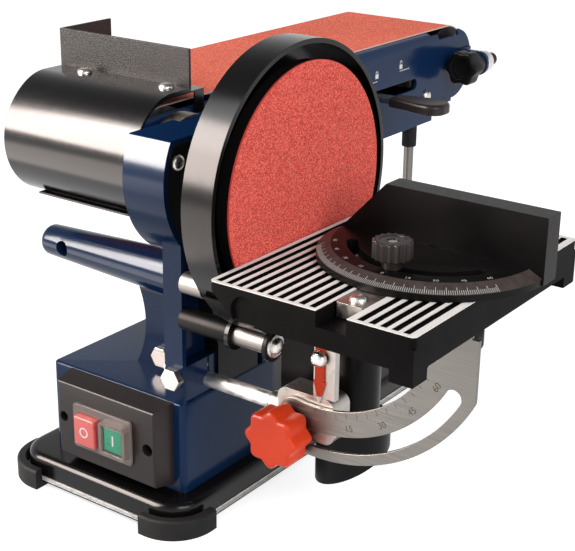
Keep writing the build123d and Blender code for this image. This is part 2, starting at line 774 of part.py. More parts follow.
def disc_plate():
    back = -PAPER_T - PLATE_T
    body = rod_x(DISC_R - PLATE_STEP, back, -PAPER_T) + rod_x(HUB_R, back - HUB_L, back)
    return body - rod_x(SHAFT_R + FIT, back - HUB_L, -PAPER_T - HUB_FLOOR)


def abrasive_disc():
    return rod_x(DISC_R, -PAPER_T, 0)


def disc_guard():
    """Round sheet guard with a window to the hood and two ears."""
    body = rod_x(GUARD_R, GUARD_X0, GUARD_X1) - rod_x(GUARD_R - GUARD_T, GUARD_X0 + GUARD_T, GUARD_X1)
    for y, z in GUARD_EARS:
        body += rod_x(EAR_R, GUARD_X0, GUARD_X0 + GUARD_T, y, z)
    body -= rod_x(GUARD_EYE, GUARD_X0, GUARD_X0 + GUARD_T)
    window_top = WINDOW_H - GUARD_R
    return body - block(GUARD_X0 + GUARD_T, GUARD_X1, -WINDOW_HALF, WINDOW_HALF, -GUARD_R, window_top)


def guard_spacers():
    """Spacers behind and before the guard, and one stud behind its edge."""
    rods = [rod_x(SPACER_R, UP_X1, GUARD_X0, y, z) for y, z in GUARD_EARS + [SPACER_TOP]]
    rods.append(rod_x(SPACER_R, GUARD_X0 - STUD_L, GUARD_X0, *STUD_AT))
    for y, z in GUARD_EARS:
        sleeve = rod_x(SPACER_R, GUARD_X0 + GUARD_T, HOOD_GAP, y, z)
        rods.append(sleeve - rod_x(SCREW_R + FIT, GUARD_X0 + GUARD_T, HOOD_GAP, y, z))
    return rods


def hood_segment(radius):
    return (Circle(radius)) - Pos(0, HOOD_TOP + radius) * Rectangle(2 * radius, 2 * radius)


def duct_plan(inset):
    radius = DUCT_R - inset
    run = span(HOOD_X0 + inset, DUCT_X, DUCT_Y - radius, DUCT_Y + radius)
    return run + Pos(DUCT_X, DUCT_Y) * Circle(radius)


def duct_body(inset, z0):
    """Duct under the hood with a top that falls away below the tilted table."""
    body = along_z(duct_plan(inset), z0, DUCT_TOP_IN)
    wedge = polygon(
        (HOOD_X0, DUCT_TOP_IN - inset),
        (HOOD_FRONT, DUCT_TOP_IN - inset),
        (DUCT_X + DUCT_R, DUCT_TOP_OUT - inset),
        (DUCT_X + DUCT_R + 1, 0),
        (HOOD_X0, 0),
    )
    return body - along_y(wedge, DUCT_Y - 2 * DUCT_R, DUCT_Y + 2 * DUCT_R)


def dust_hood():
    """Cover over the lower disc, run into a duct."""
    inner_r = GUARD_R + GAP
    body = along_x(hood_segment(inner_r + HOOD_T), HOOD_X0, HOOD_FRONT)
    for y, z in GUARD_EARS:
        body += rod_x(EAR_R, HOOD_GAP, HOOD_FRONT, y, z)
    body += duct_body(0, DUCT_Z0)
    body -= duct_body(HOOD_T, DUCT_Z0 + HOOD_T)
    body -= rod_x(inner_r, GUARD_X0 - EAR_R, HOOD_GAP)
    for y, z in GUARD_EARS:
        body -= rod_x(SPACER_R + FIT, HOOD_X0, HOOD_GAP, y, z)
        body -= rod_x(SCREW_R + FIT, HOOD_GAP, HOOD_FRONT, y, z)
    return body - rod_z(DUCT_R - HOOD_T, DUCT_Z0, DUCT_Z0 + HOOD_T, DUCT_X, DUCT_Y)


def dust_port():
    """Hose socket with an oblique mouth."""
    low = DUCT_Z0 - 2 * PORT_R
    body = rod_z(PORT_R, low, DUCT_Z0, DUCT_X, DUCT_Y)
    body -= rod_z(PORT_BORE, low, DUCT_Z0 - HOOD_T, DUCT_X, DUCT_Y)
    body -= rod_z(DUCT_R - HOOD_T, DUCT_Z0 - HOOD_T, DUCT_Z0, DUCT_X, DUCT_Y)
    cut = Pos(0, 0, -2 * PORT_R) * Box(6 * PORT_R, 6 * PORT_R, 4 * PORT_R)
    return body - Pos(DUCT_X, DUCT_Y, PORT_MID) * Rot(0, 0, PORT_TURN) * Rot(0, -PORT_SLOPE, 0) * cut


def panel_screws():
    """Screws of the drive cover and of the bell's back, and washered ones for the hood's ears."""
    screws = [screw_x(UP_X1 - COVER_SUNK, y, z) for y, z in COVER_SCREWS]
    screws += [mirror(screw_x(-BELL_X0, y, z), Plane.YZ) for y, z in BACK_SCREWS]
    for y, z in GUARD_EARS:
        washer = rod_x(WASHER_R, HOOD_FRONT, HOOD_FRONT + WASHER_T, y, z)
        screws.append(washer + screw_x(HOOD_FRONT + WASHER_T, y, z))
    return screws


def switch_box():
    """Bevelled box on the housing's front with the opening for the switch."""
    middle = Pos((SWITCH_X0 + SWITCH_X1) / 2, SWITCH_Z0 + SWITCH_H / 2)
    width = SWITCH_X1 - SWITCH_X0
    facing = Plane((0, HOUSE_Y0, 0), x_dir=(1, 0, 0), z_dir=(0, -1, 0))
    grow = 2 * SWITCH_FLARE
    back = facing * middle * Rectangle(width + grow, SWITCH_H + grow)
    front = facing.offset(SWITCH_PROUD) * middle * Rectangle(width, SWITCH_H)
    box = loft([back.face(), front.face()])
    box = fillet(box.edges().filter_by(Axis.Y, reverse=True).group_by(Axis.Y)[0], 1.5)
    box -= block(
        BEZEL_X0 + BEZEL_RIM - FIT, BEZEL_X1 - BEZEL_RIM + FIT, SWITCH_Y, HOUSE_Y0,
        BEZEL_Z0 + BEZEL_RIM - FIT, BEZEL_Z1 - BEZEL_RIM + FIT,
    )
    for side, lift in SWITCH_HOLES:
        box -= rod_y(SWITCH_HOLE_R, SWITCH_Y, HOUSE_Y0 - HOUSE_T, SWITCH_X0 + side, SWITCH_Z0 + lift)
    return box


def in_bezel(place, grow=0):
    """Extent in X and Z of a button's place in the bezel."""
    side, width, lift, height = place
    x0 = BEZEL_X0 + side
    z0 = BEZEL_Z0 + lift
    return x0 - grow, x0 + width + grow, z0 - grow, z0 + height + grow


def button(place, proud):
    x0, x1, z0, z1 = in_bezel(place)
    y0 = SWITCH_Y - BEZEL_T - proud
    body = block(x0, x1, y0, y0 + BUTTON_DEPTH, z0, z1)
    return fillet(body.faces().sort_by(Axis.Y)[0].edges(), 1.2)


def stop_button():
    return button(STOP_BOX, STOP_PROUD)


def start_button():
    return button(START_BOX, START_PROUD)


def switch_unit():
    """Bezel and switch body in one, with a pocket for each button."""
    y0 = SWITCH_Y - BEZEL_T
    bezel = block(BEZEL_X0, BEZEL_X1, y0, SWITCH_Y, BEZEL_Z0, BEZEL_Z1)
    bezel = fillet(bezel.edges().filter_by(Axis.Y), 2)
    rim = BEZEL_RIM
    body = bezel + block(
        BEZEL_X0 + rim, BEZEL_X1 - rim, SWITCH_Y, SWITCH_BODY_Y1, BEZEL_Z0 + rim, BEZEL_Z1 - rim
    )
    x0, x1, z0, z1 = in_bezel(START_BOX, BUTTON_GAP + START_FRAME)
    frame = block(x0, x1, y0 - START_FRAME_PROUD, y0, z0, z1)
    body += chamfer(frame.edges().filter_by(Axis.Y), START_FRAME_CUT)
    for place, proud in ((STOP_BOX, STOP_PROUD), (START_BOX, START_PROUD)):
        x0, x1, z0, z1 = in_bezel(place, BUTTON_GAP)
        deep = y0 - proud + BUTTON_DEPTH + BUTTON_TRAVEL + GAP
        body -= block(x0, x1, y0 - START_FRAME_PROUD, deep, z0, z1)
    return body


def rod_clamp():
    """Split block that grips the table rod."""
    body = block(COLUMN_IN, COVER_X0, UP_T - COLUMN_HALF, CLAMP_BACK, HOUSE_TOP, CLAMP_TOP)
    body -= rod_x(ROD_R + RUN, COLUMN_IN, COVER_X0, ROD_Y, ROD_Z)
    body -= block(COLUMN_IN, COVER_X0, ROD_Y - CLAMP_SLIT / 2, ROD_Y + CLAMP_SLIT / 2, ROD_Z, CLAMP_TOP)
    middle = (COLUMN_IN + COVER_X0) / 2
    return body - rod_y(BOLT_R + FIT, UP_T - COLUMN_HALF, CLAMP_BACK, middle, CLAMP_BOLT_Z)


def hex_bolt(x, z, seat, end):
    """Hex bolt driven towards +Y, its head seated at seat."""
    head = along_y(Pos(x, z) * RegularPolygon(BOLT_AF / 2, 6, major_radius=False), seat - BOLT_HEAD, seat)
    return head + rod_y(BOLT_R, seat, end, x, z)


def hex_bolts():
    """Clamp bolt of the table rod, and the bolt through the web."""
    clamp = hex_bolt((COLUMN_IN + COVER_X0) / 2, CLAMP_BOLT_Z, HOUSE_Y0, CLAMP_BACK)
    web_front = BAR_Y - WEB_T / 2
    return [clamp, hex_bolt(WEB_BOLT_X, WEB_BOLT_Z, web_front, web_front + WEB_T)]


def prop_rod():
    """Support rod with its lock nut, standing on the pan."""
    top = TRAY_BOTTOM - GAP - CAP_TOP_T
    hexagon = Pos(PROP_X, PROP_Y) * RegularPolygon(BOLT_AF / 2, 6, major_radius=False)
    nut = along_z(hexagon, PAN_TOP, PAN_TOP + PROP_NUT_H)
    return rod_z(PROP_R, PAN_TOP, top, PROP_X, PROP_Y) + nut


def prop_cap():
    top = TRAY_BOTTOM - GAP
    cap = rod_z(CAP_R, top - CAP_L, top, PROP_X, PROP_Y)
    cap = fillet(cap.edges().filter_by(GeomType.CIRCLE).sort_by(Axis.Z)[-1], 1.5)
    return cap - rod_z(PROP_R + FIT, top - CAP_L, top - CAP_TOP_T, PROP_X, PROP_Y)


def cable_gland():
    y0 = HOUSE_Y1 - HOUSE_T
    nut = along_y(Pos(GLAND_X, GLAND_Z) * RegularPolygon(GLAND_R, 6), HOUSE_Y1, HOUSE_Y1 + GLAND_L / 2)
    body = nut + rod_y(GLAND_R / 2, y0, HOUSE_Y1, GLAND_X, GLAND_Z)
    body += rod_y(GLAND_R * 0.8, HOUSE_Y1 + GLAND_L / 2, HOUSE_Y1 + GLAND_L, GLAND_X, GLAND_Z)
    return body - rod_y(GLAND_BORE, y0, HOUSE_Y1 + GLAND_L, GLAND_X, GLAND_Z)


def table_rod():
    rod = rod_x(ROD_R, ROD_X0, ROD_X1, ROD_Y, ROD_Z)
    return chamfer(rod.edges().filter_by(GeomType.CIRCLE), 0.8)


def end_block():
    """Cast block on the rod's end that carries the post and the clamp knob."""
    body = along_y(span(BLOCK_X0 + BOSS_OUT, BLOCK_X1, BLOCK_Z0, BLOCK_Z1), BLOCK_Y0, BLOCK_Y1)
    body = fillet(body.edges().filter_by(Axis.Y), BLOCK_ROUND)
    boss = rod_x(ROD_Y - BLOCK_Y0, BLOCK_X0, BLOCK_X1 - BLOCK_ROUND, ROD_Y, ROD_Z)
    boss = fillet(boss.edges().filter_by(GeomType.CIRCLE).sort_by(Axis.X)[0], 2)
    body = body + boss
    body -= rod_x(ROD_R + FIT, BLOCK_X0, ROD_X1, ROD_Y, ROD_Z)
    return body - rod_y(KNOB_STUD_R + RUN, BLOCK_Y0, BLOCK_Y0 + KNOB_STUD_L, KNOB_X, KNOB_Z)


def pivot_post():
    """Sheet post on the block, with the pivot eye and a folded stiffener."""
    face = span(POST_X0, POST_X1, BLOCK_Z1, POST_SHOULDER)
    face += span(PIVOT_X - PIVOT_EYE, PIVOT_X + PIVOT_EYE, POST_SHOULDER, PIVOT_Z)
    face += Pos(PIVOT_X, PIVOT_Z) * Circle(PIVOT_EYE)
    body = along_y(face, POST_Y, POST_Y + POST_T)
    body += block(POST_X1 - POST_T, POST_X1, POST_Y, POST_Y + POST_FLANGE, BLOCK_Z1, POST_SHOULDER)
    return body - rod_y(PIVOT_R + FIT, POST_Y, POST_Y + POST_T, PIVOT_X, PIVOT_Z)


def pivot_bolt():
    """Pivot of the table with its head in front and a nut behind."""
    end = LUG_Y + LUG_T + GAP
    bolt = rod_y(PIVOT_R, POST_Y, end, PIVOT_X, PIVOT_Z)
    bolt += rod_y(PIVOT_EYE - 1, POST_Y - 2, POST_Y, PIVOT_X, PIVOT_Z)
    return bolt + rod_y(PIVOT_EYE - 1, end, end + 4, PIVOT_X, PIVOT_Z)


def tilt_pointer():
    """Flat pointer on the post, its tip at the scale."""
    half = POINTER_W / 2
    wide = POINTER_HEAD_W / 2
    outline = span(POINTER_X - half, POINTER_X + half, POINTER_HEAD_Z, POINTER_Z1)
    outline += polygon(
        (POINTER_X - wide, POINTER_HEAD_Z),
        (POINTER_X + wide, POINTER_HEAD_Z),
        (POINTER_X, POINTER_Z0),
    )
    body = along_y(outline, POST_Y - POINTER_T, POST_Y)
    return body - rod_y(SCREW_R + FIT, POST_Y - POINTER_T, POST_Y, POINTER_X, POINTER_SCREW_Z)


def pointer_screw():
    """Screw of the pointer with its washer."""
    seat = POST_Y - POINTER_T - WASHER_T
    head = rod_y(SCREW_HEAD_R, seat - SCREW_HEAD_H, seat, POINTER_X, POINTER_SCREW_Z)
    head = chamfer(head.faces().sort_by(Axis.Y)[0].edges(), SCREW_HEAD_H / 3)
    washer = rod_y(POINTER_WASHER_R, seat, seat + WASHER_T, POINTER_X, POINTER_SCREW_Z)
    return head + washer + rod_y(SCREW_R, seat, POST_Y, POINTER_X, POINTER_SCREW_Z)


def tilt_knob():
    """Lobed clamp knob with its stud through the quadrant's slot."""
    seat = QUAD_Y - GAP
    hub_end = seat - KNOB_HUB_L
    outline = Pos(KNOB_X, KNOB_Z) * lobed(KNOB_R, KNOB_LOBES, KNOB_R / 7)
    grip = along_y(outline, hub_end - KNOB_T, hub_end)
    grip = chamfer(grip.faces().sort_by(Axis.Y)[0].edges(), 1.5)
    body = grip + rod_y(KNOB_HUB_R, hub_end, seat, KNOB_X, KNOB_Z)
    return body + rod_y(KNOB_STUD_R, seat, BLOCK_Y0 + KNOB_STUD_L - GAP, KNOB_X, KNOB_Z)


def work_table():
    """Cast table: grooved top with a mitre slot, hollow below, bevelled towards the disc."""
    body = block(TABLE_X0, TABLE_X1, TABLE_Y0, TABLE_Y1, TABLE_LOW, TABLE_TOP)
    body = fillet(body.edges().filter_by(Axis.Z), 3)
    wall = TABLE_WALL
    body -= block(TABLE_X0 + wall, TABLE_X1 - wall, TABLE_Y0 + wall, TABLE_Y1 - wall, TABLE_LOW, TABLE_UNDER)
    bevel = polygon(
        (TABLE_X0 - 1, TABLE_TOP - BEVEL_TOP),
        (TABLE_X0, TABLE_TOP - BEVEL_TOP),
        (TABLE_X0 + BEVEL_RUN, TABLE_LOW),
        (TABLE_X0 - 1, TABLE_LOW),
    )
    body -= along_y(bevel, TABLE_Y0, TABLE_Y1)
    for y0 in (TABLE_Y0, TABLE_Y1 - POCKET_D):
        body -= rod_y(POCKET_R, y0, y0 + POCKET_D, PIVOT_X, PIVOT_Z)
    half = SLOT_W / 2
    channel = half + SLOT_WALL
    body += block(
        SLOT_X - channel, SLOT_X + channel, TABLE_Y0 + wall, TABLE_Y1 - wall,
        TABLE_TOP - SLOT_D - SLOT_WALL, TABLE_UNDER,
    )
    body -= block(SLOT_X - half, SLOT_X + half, TABLE_Y0, TABLE_Y1, TABLE_TOP - SLOT_D, TABLE_TOP)
    inner = (TABLE_X0 + SLOT_X - half) / 2
    outer = (TABLE_X1 + SLOT_X + half) / 2
    for middle, count in ((inner, GROOVES_IN), (outer, GROOVES_OUT)):
        groove = Pos(middle, (TABLE_Y0 + TABLE_Y1) / 2) * GridLocations(GROOVE_PITCH, 1, count, 1)
        cut = groove * Rectangle(GROOVE_W, TABLE_Y1 - TABLE_Y0 - 2 * GROOVE_END)
        body -= along_z(Sketch() + cut, TABLE_TOP - GROOVE_D, TABLE_TOP)
    for y0 in (TABLE_Y0, TABLE_Y1 - PAD_SIDE):
        body += block(TABLE_X1 - PAD_SIDE, TABLE_X1, y0, y0 + PAD_SIDE, TABLE_LOW - PAD_DROP, TABLE_UNDER)
    lug = span(PIVOT_X - LUG_R, PIVOT_X + LUG_R, PIVOT_Z, TABLE_UNDER) + Pos(PIVOT_X, PIVOT_Z) * Circle(LUG_R)
    body += along_y(lug, LUG_Y, LUG_Y + LUG_T)
    return body - rod_y(PIVOT_R + RUN, LUG_Y, LUG_Y + LUG_T, PIVOT_X, PIVOT_Z)


def quadrant_point(radius, angle):
    """Point of the quadrant at an angle from straight down, towards +X."""
    return (PIVOT_X + radius * sin(radians(angle)), PIVOT_Z - radius * cos(radians(angle)))


def tilt_quadrant():
    """Slotted sheet quadrant with a folded flange inside the table's outer skirt."""
    pivot = Pos(PIVOT_X, PIVOT_Z)
    tab_x1 = TABLE_X1 - TABLE_WALL
    top = TABLE_UNDER - QUAD_TOP
    face = pivot * Circle(QUAD_OUT)
    far = quadrant_point(3 * QUAD_OUT, QUAD_END)
    keep = polygon((PIVOT_X, PIVOT_Z), far, (far[0] + 6 * QUAD_OUT, far[1]), (far[0] + 6 * QUAD_OUT, PIVOT_Z))
    below = PIVOT_Z - 2 * QUAD_OUT
    keep -= polygon(
        (TABLE_X1, below),
        (TABLE_X1, QUAD_STEP_Z),
        (tab_x1, QUAD_STEP_Z),
        (tab_x1, PIVOT_Z),
        (PIVOT_X + 7 * QUAD_OUT, PIVOT_Z),
        (PIVOT_X + 7 * QUAD_OUT, below),
    )
    face = (face & keep) - pivot * Circle(QUAD_IN)
    face = fillet(face.vertices().sort_by(Axis.X)[0:2], QUAD_CORNER)
    face = fillet(face.vertices().group_by(Axis.X)[-1].sort_by(Axis.Y)[0], QUAD_NOSE)
    face += span(QUAD_TAB_X, tab_x1, QUAD_STEP_Z - QUAD_T, top)
    mid = CenterArc((PIVOT_X, PIVOT_Z), QUAD_SLOT_R, QUAD_SLOT_FROM - 90, QUAD_SLOT_TO - QUAD_SLOT_FROM)
    face -= SlotArc(mid, QUAD_SLOT_W)
    plate = along_y(face, QUAD_Y, QUAD_Y + QUAD_T)
    return plate + block(tab_x1 - QUAD_T, tab_x1, QUAD_Y, FLANGE_Y1, FLANGE_Z0, top)


def mitre_bar():
    """Slide in the table's slot, with the head's pivot pin."""
    half = SLOT_W / 2 - GAP
    top = TABLE_TOP - GAP
    body = block(SLOT_X - half, SLOT_X + half, MITRE_BAR_Y0, MITRE_BAR_Y1, top - MITRE_BAR_T, top)
    body = chamfer(body.edges().filter_by(Axis.Z), 1.5)
    body += rod_z(MITRE_PIN_R, top, MITRE_TOP - MITRE_T / 4, SLOT_X, MITRE_Y)
    body -= rod_z(SCREW_R + FIT, top - MITRE_BAR_T, top, SLOT_X, MITRE_BAR_Y0 + BAR_SCREW_IN)
    return body - rod_z(LOCK_STUD_R + RUN, top - MITRE_BAR_T + 1, top, SLOT_X, LOCK_Y)


def bar_screw():
    """Screw in the front end of the slide."""
    seat = TABLE_TOP - GAP
    return screw_z(SLOT_X, MITRE_BAR_Y0 + BAR_SCREW_IN, seat, seat - MITRE_BAR_T)


def mitre_head():
    """Protractor plate with a bevelled rim and an arc slot, carrying the fence."""
    disc = rod_z(MITRE_R, MITRE_Z, MITRE_TOP, SLOT_X, MITRE_Y)
    disc = chamfer(disc.edges().filter_by(GeomType.CIRCLE).sort_by(Axis.Z)[-1], MITRE_BEVEL, MITRE_BEVEL * 2)
    body = disc - block(SLOT_X - MITRE_R, SLOT_X + MITRE_R, MITRE_Y, MITRE_Y + MITRE_R, MITRE_Z, MITRE_TOP)
    mid = CenterArc((SLOT_X, MITRE_Y), MITRE_SLOT_R, -90 - MITRE_SWING, 2 * MITRE_SWING)
    fence = polygon(
        (FENCE_X0, MITRE_Z),
        (FENCE_X1, MITRE_Z),
        (FENCE_X1, FENCE_TOP),
        (FENCE_X0 + FENCE_SLANT, FENCE_TOP),
    )
    wall = along_y(fence, FENCE_Y0, FENCE_Y1)
    hollow = along_y(offset(fence, -FENCE_WALL), FENCE_Y0 + FENCE_WALL, FENCE_Y1)
    body = body + (wall - hollow) + rod_z(MITRE_PIN_R * 2.5, MITRE_Z, MITRE_TOP, SLOT_X, MITRE_Y)
    body -= along_z(SlotArc(mid, MITRE_SLOT_W), MITRE_Z, MITRE_TOP)
    return body - rod_z(MITRE_PIN_R + RUN, MITRE_Z, MITRE_TOP, SLOT_X, MITRE_Y)


def mitre_knob():
    """Fluted clamp knob with its stud down into the bar."""
    seat = MITRE_TOP + GAP
    flutes = PolarLocations(LOCK_R + LOCK_FLUTE_R / 3, LOCK_FLUTES) * Circle(LOCK_FLUTE_R)
    outline = Pos(SLOT_X, LOCK_Y) * (Circle(LOCK_R) - flutes)
    base = seat + LOCK_COLLAR_H
    grip = along_z(outline, base, base + LOCK_H)
    collar = rod_z(LOCK_COLLAR_R, seat, base, SLOT_X, LOCK_Y)
    return grip + collar + rod_z(LOCK_STUD_R, TABLE_TOP - GAP - MITRE_BAR_T + 1 + GAP, seat, SLOT_X, LOCK_Y)


def arm_side():
    """Side view of the arm: round front on the spindle, round rear at the idler."""
    side = Circle(ARM_FRONT_R) + span(0, IDLER_Y, ARM_BOTTOM, ARM_TOP)
    return side + Pos(IDLER_Y, ARM_REAR_Z) * Circle(ARM_REAR_R)


def folded(inset):
    """Inverted channel section with bent shoulders."""
    section = span(ARM_X0 + inset, ARM_X1 - inset, -2 * ARM_FRONT_R, ARM_TOP - inset)
    return fillet(section.vertices().group_by(Axis.Y)[-1], ARM_BEND - inset)


def arm_channel():
    """Folded arm: platen between two cheeks, with slots for the idler's axle and the lever."""
    y0 = -ARM_FRONT_R
    y1 = IDLER_Y + 2 * ARM_REAR_R
    body = along_y(folded(0) - folded(ARM_T), y0, y1) & along_x(arm_side(), ARM_X0, ARM_X1)
    for cut0, cut1 in ((y0, PLATEN_Y0), (PLATEN_Y1, y1)):
        body -= block(ARM_X0 + ARM_T, ARM_X1 - ARM_T, cut0, cut1, ARM_BOTTOM, ARM_TOP)
    body -= block(ARM_X0, ARM_X1, IDLER_Y - NOTCH_FRONT, IDLER_Y + NOTCH_REAR, ARM_TOP - NOTCH_D, ARM_TOP)
    body -= rod_x(JOURNAL_R + RUN, ARM_X1 - ARM_T, ARM_X1)
    body -= rod_x(SHAFT_R + RUN, ARM_X0, ARM_X0 + ARM_T)
    length = 2 * (AXLE_R + GAP) + TENSION_TRAVEL
    slot = Pos(IDLER_Y - TENSION_TRAVEL / 2, 0) * SlotOverall(length, 2 * (AXLE_R + GAP))
    body -= along_x(slot, ARM_X0, ARM_X1)
    middle = LEVER_Y + (LEVER_SLOT_REAR - LEVER_SLOT_FRONT) / 2
    window = Pos(middle, LEVER_Z) * SlotOverall(LEVER_SLOT_FRONT + LEVER_SLOT_REAR, LEVER_SLOT_H)
    body -= along_x(window, ARM_X1 - ARM_T, ARM_X1)
    for y in TRAY_SCREWS:
        body -= rod_x(SCREW_R + FIT, ARM_X0, ARM_X1, y, TRAY_SCREW_Z)
    return body


def belt_tray():
    """Lower guard under the return run, lapped inside the cheeks."""
    tail = TRAY_Y1 + TRAY_TAIL_L
    tail_z = TRAY_BOTTOM + TRAY_TAIL_RISE
    side = polygon(
        (TRAY_Y0, TRAY_BOTTOM),
        (TRAY_Y1, TRAY_BOTTOM),
        (TRAY_Y1, tail_z),
        (tail, tail_z),
        (tail, TRAY_TOP),
        (TRAY_Y0, TRAY_TOP),
    )
    body = along_x(side, TRAY_X0, TRAY_X1)
    body -= block(TRAY_X0 + TRAY_T, TRAY_X1 - TRAY_T, TRAY_Y0, TRAY_Y1, TRAY_BOTTOM + TRAY_T, TRAY_TOP)
    body -= block(TRAY_X0 + TRAY_T, TRAY_X1 - TRAY_T, TRAY_Y1, tail, TRAY_BOTTOM, TRAY_TOP)
    for y in TRAY_SCREWS:
        body -= rod_x(SCREW_R + FIT, TRAY_X0, TRAY_X1, y, TRAY_SCREW_Z)
    return body


def arm_screws():
    """Screws of the stop fence, and those through the cheeks into the tray."""
    end = SHROUD_R - SHROUD_T - 2
    screws = [screw_z(x, FENCE_SCREW_Y, SHROUD_R + STOP_T, end) for x in FENCE_SCREWS]
    for y in TRAY_SCREWS:
        screws.append(screw_x(ARM_X1, y, TRAY_SCREW_Z))
        screws.append(mirror(screw_x(-ARM_X0, y, TRAY_SCREW_Z), Plane.YZ))
    return screws


def abrasive_belt():
    outer = loop(BELT_IN + BELT_T, BELT_IN + BELT_T, IDLER_Y, 0)
    return along_x(outer - loop(BELT_IN, BELT_IN, IDLER_Y, 0), BELT_X0, BELT_X1)


def drum_cover():
    """Rolled cover round the front drum: flat top, round front, turned-out lower lip, two tabs."""
    inner = SHROUD_R - SHROUD_T
    ring = Circle(SHROUD_R) - Circle(inner)
    low = -SHROUD_R * sin(radians(SHROUD_END))
    front = ring & span(-SHROUD_R, 0, low, SHROUD_R)
    sheet = front + span(0, SHROUD_REAR, inner, SHROUD_R)
    body = along_x(sheet, SHROUD_X0, SHROUD_X1)
    lip_y = -SHROUD_R * cos(radians(SHROUD_END))
    body += block(
        SHROUD_X0 + LIP_FAR, SHROUD_X1 - LIP_NEAR, lip_y - LIP_W, lip_y + SHROUD_T,
        low - SHROUD_T / 2, low + SHROUD_T / 2,
    )
    top = block(ARM_X0 - SHROUD_T, SHROUD_X1, TAB_Y0, SHROUD_REAR, inner, SHROUD_R)
    near = block(ARM_X1, SHROUD_X1, TAB_Y0, SHROUD_REAR, ARM_TOP - TAB_DROP, inner)
    far = block(ARM_X0 - SHROUD_T, ARM_X0, TAB_Y0, SHROUD_REAR, ARM_TOP - TAB_DROP, inner)
    body = body + top + near + far
    for x in FENCE_SCREWS:
        body -= rod_z(SCREW_R + FIT, inner, SHROUD_R, x, FENCE_SCREW_Y)
    return body


def stop_fence():
    """Folded stop plate on the cover, with a foot in front and a wing at the far end."""
    foot = block(STOP_X0, ARM_X1, STOP_FOOT_Y, STOP_Y + STOP_T, SHROUD_R, SHROUD_R + STOP_T)
    wall = block(STOP_X0, ARM_X1, STOP_Y, STOP_Y + STOP_T, SHROUD_R, STOP_TOP)
    wing = block(STOP_X0, STOP_X0 + STOP_T, STOP_Y, STOP_WING_Y, SHROUD_R, STOP_TOP)
    body = foot + wall + wing
    for x in FENCE_SCREWS:
        body -= rod_z(SCREW_R + FIT, SHROUD_R, SHROUD_R + STOP_T, x, FENCE_SCREW_Y)
    return body


def lever_pivot():
    """Pivot pin of the lever, hung from the platen, with a shoulder above and a head below."""
    above = LEVER_Z + LEVER_T / 2 + GAP
    below = LEVER_Z - LEVER_T / 2 - GAP
    pin = rod_z(LEVER_PIN_R * 1.5, above, ARM_TOP - ARM_T, LEVER_X, LEVER_Y)
    pin += rod_z(LEVER_PIN_R, below, above, LEVER_X, LEVER_Y)
    return pin + rod_z(LEVER_PIN_R * 1.5, below - LEVER_T, below, LEVER_X, LEVER_Y)


def lever_shank():
    """Steel lever with a round hub and a nose that pushes the fork."""
    half = LEVER_W / 2
    flat = Pos(LEVER_X, LEVER_Y) * Circle(LEVER_HUB_R)
    flat += span(LEVER_X, GRIP_X0 + GRIP_ROUND, LEVER_Y - half, LEVER_Y + half)
    flat += span(LEVER_X - LEVER_NOSE_R, LEVER_X + LEVER_NOSE_R, LEVER_Y, LEVER_Y + LEVER_NOSE)
    flat += Pos(LEVER_X, LEVER_Y + LEVER_NOSE) * Circle(LEVER_NOSE_R)
    body = along_z(flat, LEVER_Z - LEVER_T / 2, LEVER_Z + LEVER_T / 2)
    return body - rod_z(LEVER_PIN_R + RUN, LEVER_Z - LEVER_T, LEVER_Z + LEVER_T, LEVER_X, LEVER_Y)


def lever_grip():
    """Flared paddle grip with a pocket for the shank."""
    shoulder = GRIP_X0 + GRIP_FLARE
    end = GRIP_X0 + GRIP_L
    flat = polygon(
        (GRIP_X0, LEVER_Y - GRIP_W0 / 2),
        (shoulder, LEVER_Y - GRIP_W1 / 2),
        (end, LEVER_Y - GRIP_W1 / 2),
        (end, LEVER_Y + GRIP_W1 / 2),
        (shoulder, LEVER_Y + GRIP_W1 / 2),
        (GRIP_X0, LEVER_Y + GRIP_W0 / 2),
    )
    flat = fillet(flat.vertices().group_by(Axis.X)[-1], GRIP_ROUND)
    body = along_z(flat, LEVER_Z - GRIP_T / 2, LEVER_Z + GRIP_T / 2)
    body = fillet(body.faces().sort_by(Axis.Z)[-1].edges(), 3)
    body = fillet(body.faces().sort_by(Axis.Z)[0].edges(), 1.2)
    half = LEVER_W / 2 + FIT
    deep = GRIP_X0 + GRIP_ROUND + FIT
    tall = LEVER_T / 2 + FIT
    return body - block(GRIP_X0, deep, LEVER_Y - half, LEVER_Y + half, LEVER_Z - tall, LEVER_Z + tall)


def idler_fork():
    """Fork on the idler's axle with its push rod and spring collar."""
    half = FORK_H / 2
    body = block(FORK_X0, FORK_X1, FORK_Y0, FORK_Y0 + FORK_T, -half, half)
    for x0 in (FORK_X0, FORK_X1 - FORK_T):
        leg = span(FORK_Y0, IDLER_Y, -half, half) + Pos(IDLER_Y, 0) * Circle(half)
        body += along_x(leg, x0, x0 + FORK_T)
    body -= rod_x(AXLE_R + FIT, FORK_X0, FORK_X1, IDLER_Y, 0)
    tip = PUSH_Y + 2 * PUSH_TIP_R
    body += rod_y(PUSH_TIP_R, PUSH_Y, tip, LEVER_X, LEVER_Z) + rod_y(PUSH_R, tip, FORK_Y0, LEVER_X, LEVER_Z)
    return body + rod_y(PUSH_COLLAR_R, PUSH_COLLAR_Y, PUSH_COLLAR_Y + FORK_T, LEVER_X, LEVER_Z)


def tension_spring():
    """Coil spring round the push rod, between its collar and the fork."""
    y0 = PUSH_COLLAR_Y + FORK_T + SPRING_WIRE + GAP
    height = FORK_Y0 - SPRING_WIRE - GAP - y0
    path = Helix(pitch=height / SPRING_TURNS, height=height, radius=SPRING_R)
    wire = sweep(Plane(path @ 0, z_dir=path % 0) * Circle(SPRING_WIRE), path=path)
    return Pos(LEVER_X, y0, LEVER_Z) * Rot(-90, 0, 0) * wire


def idler_axle():
    axle = rod_x(AXLE_R, ARM_X0, ARM_X1, IDLER_Y, 0)
    return chamfer(axle.edges().filter_by(GeomType.CIRCLE), 0.8)


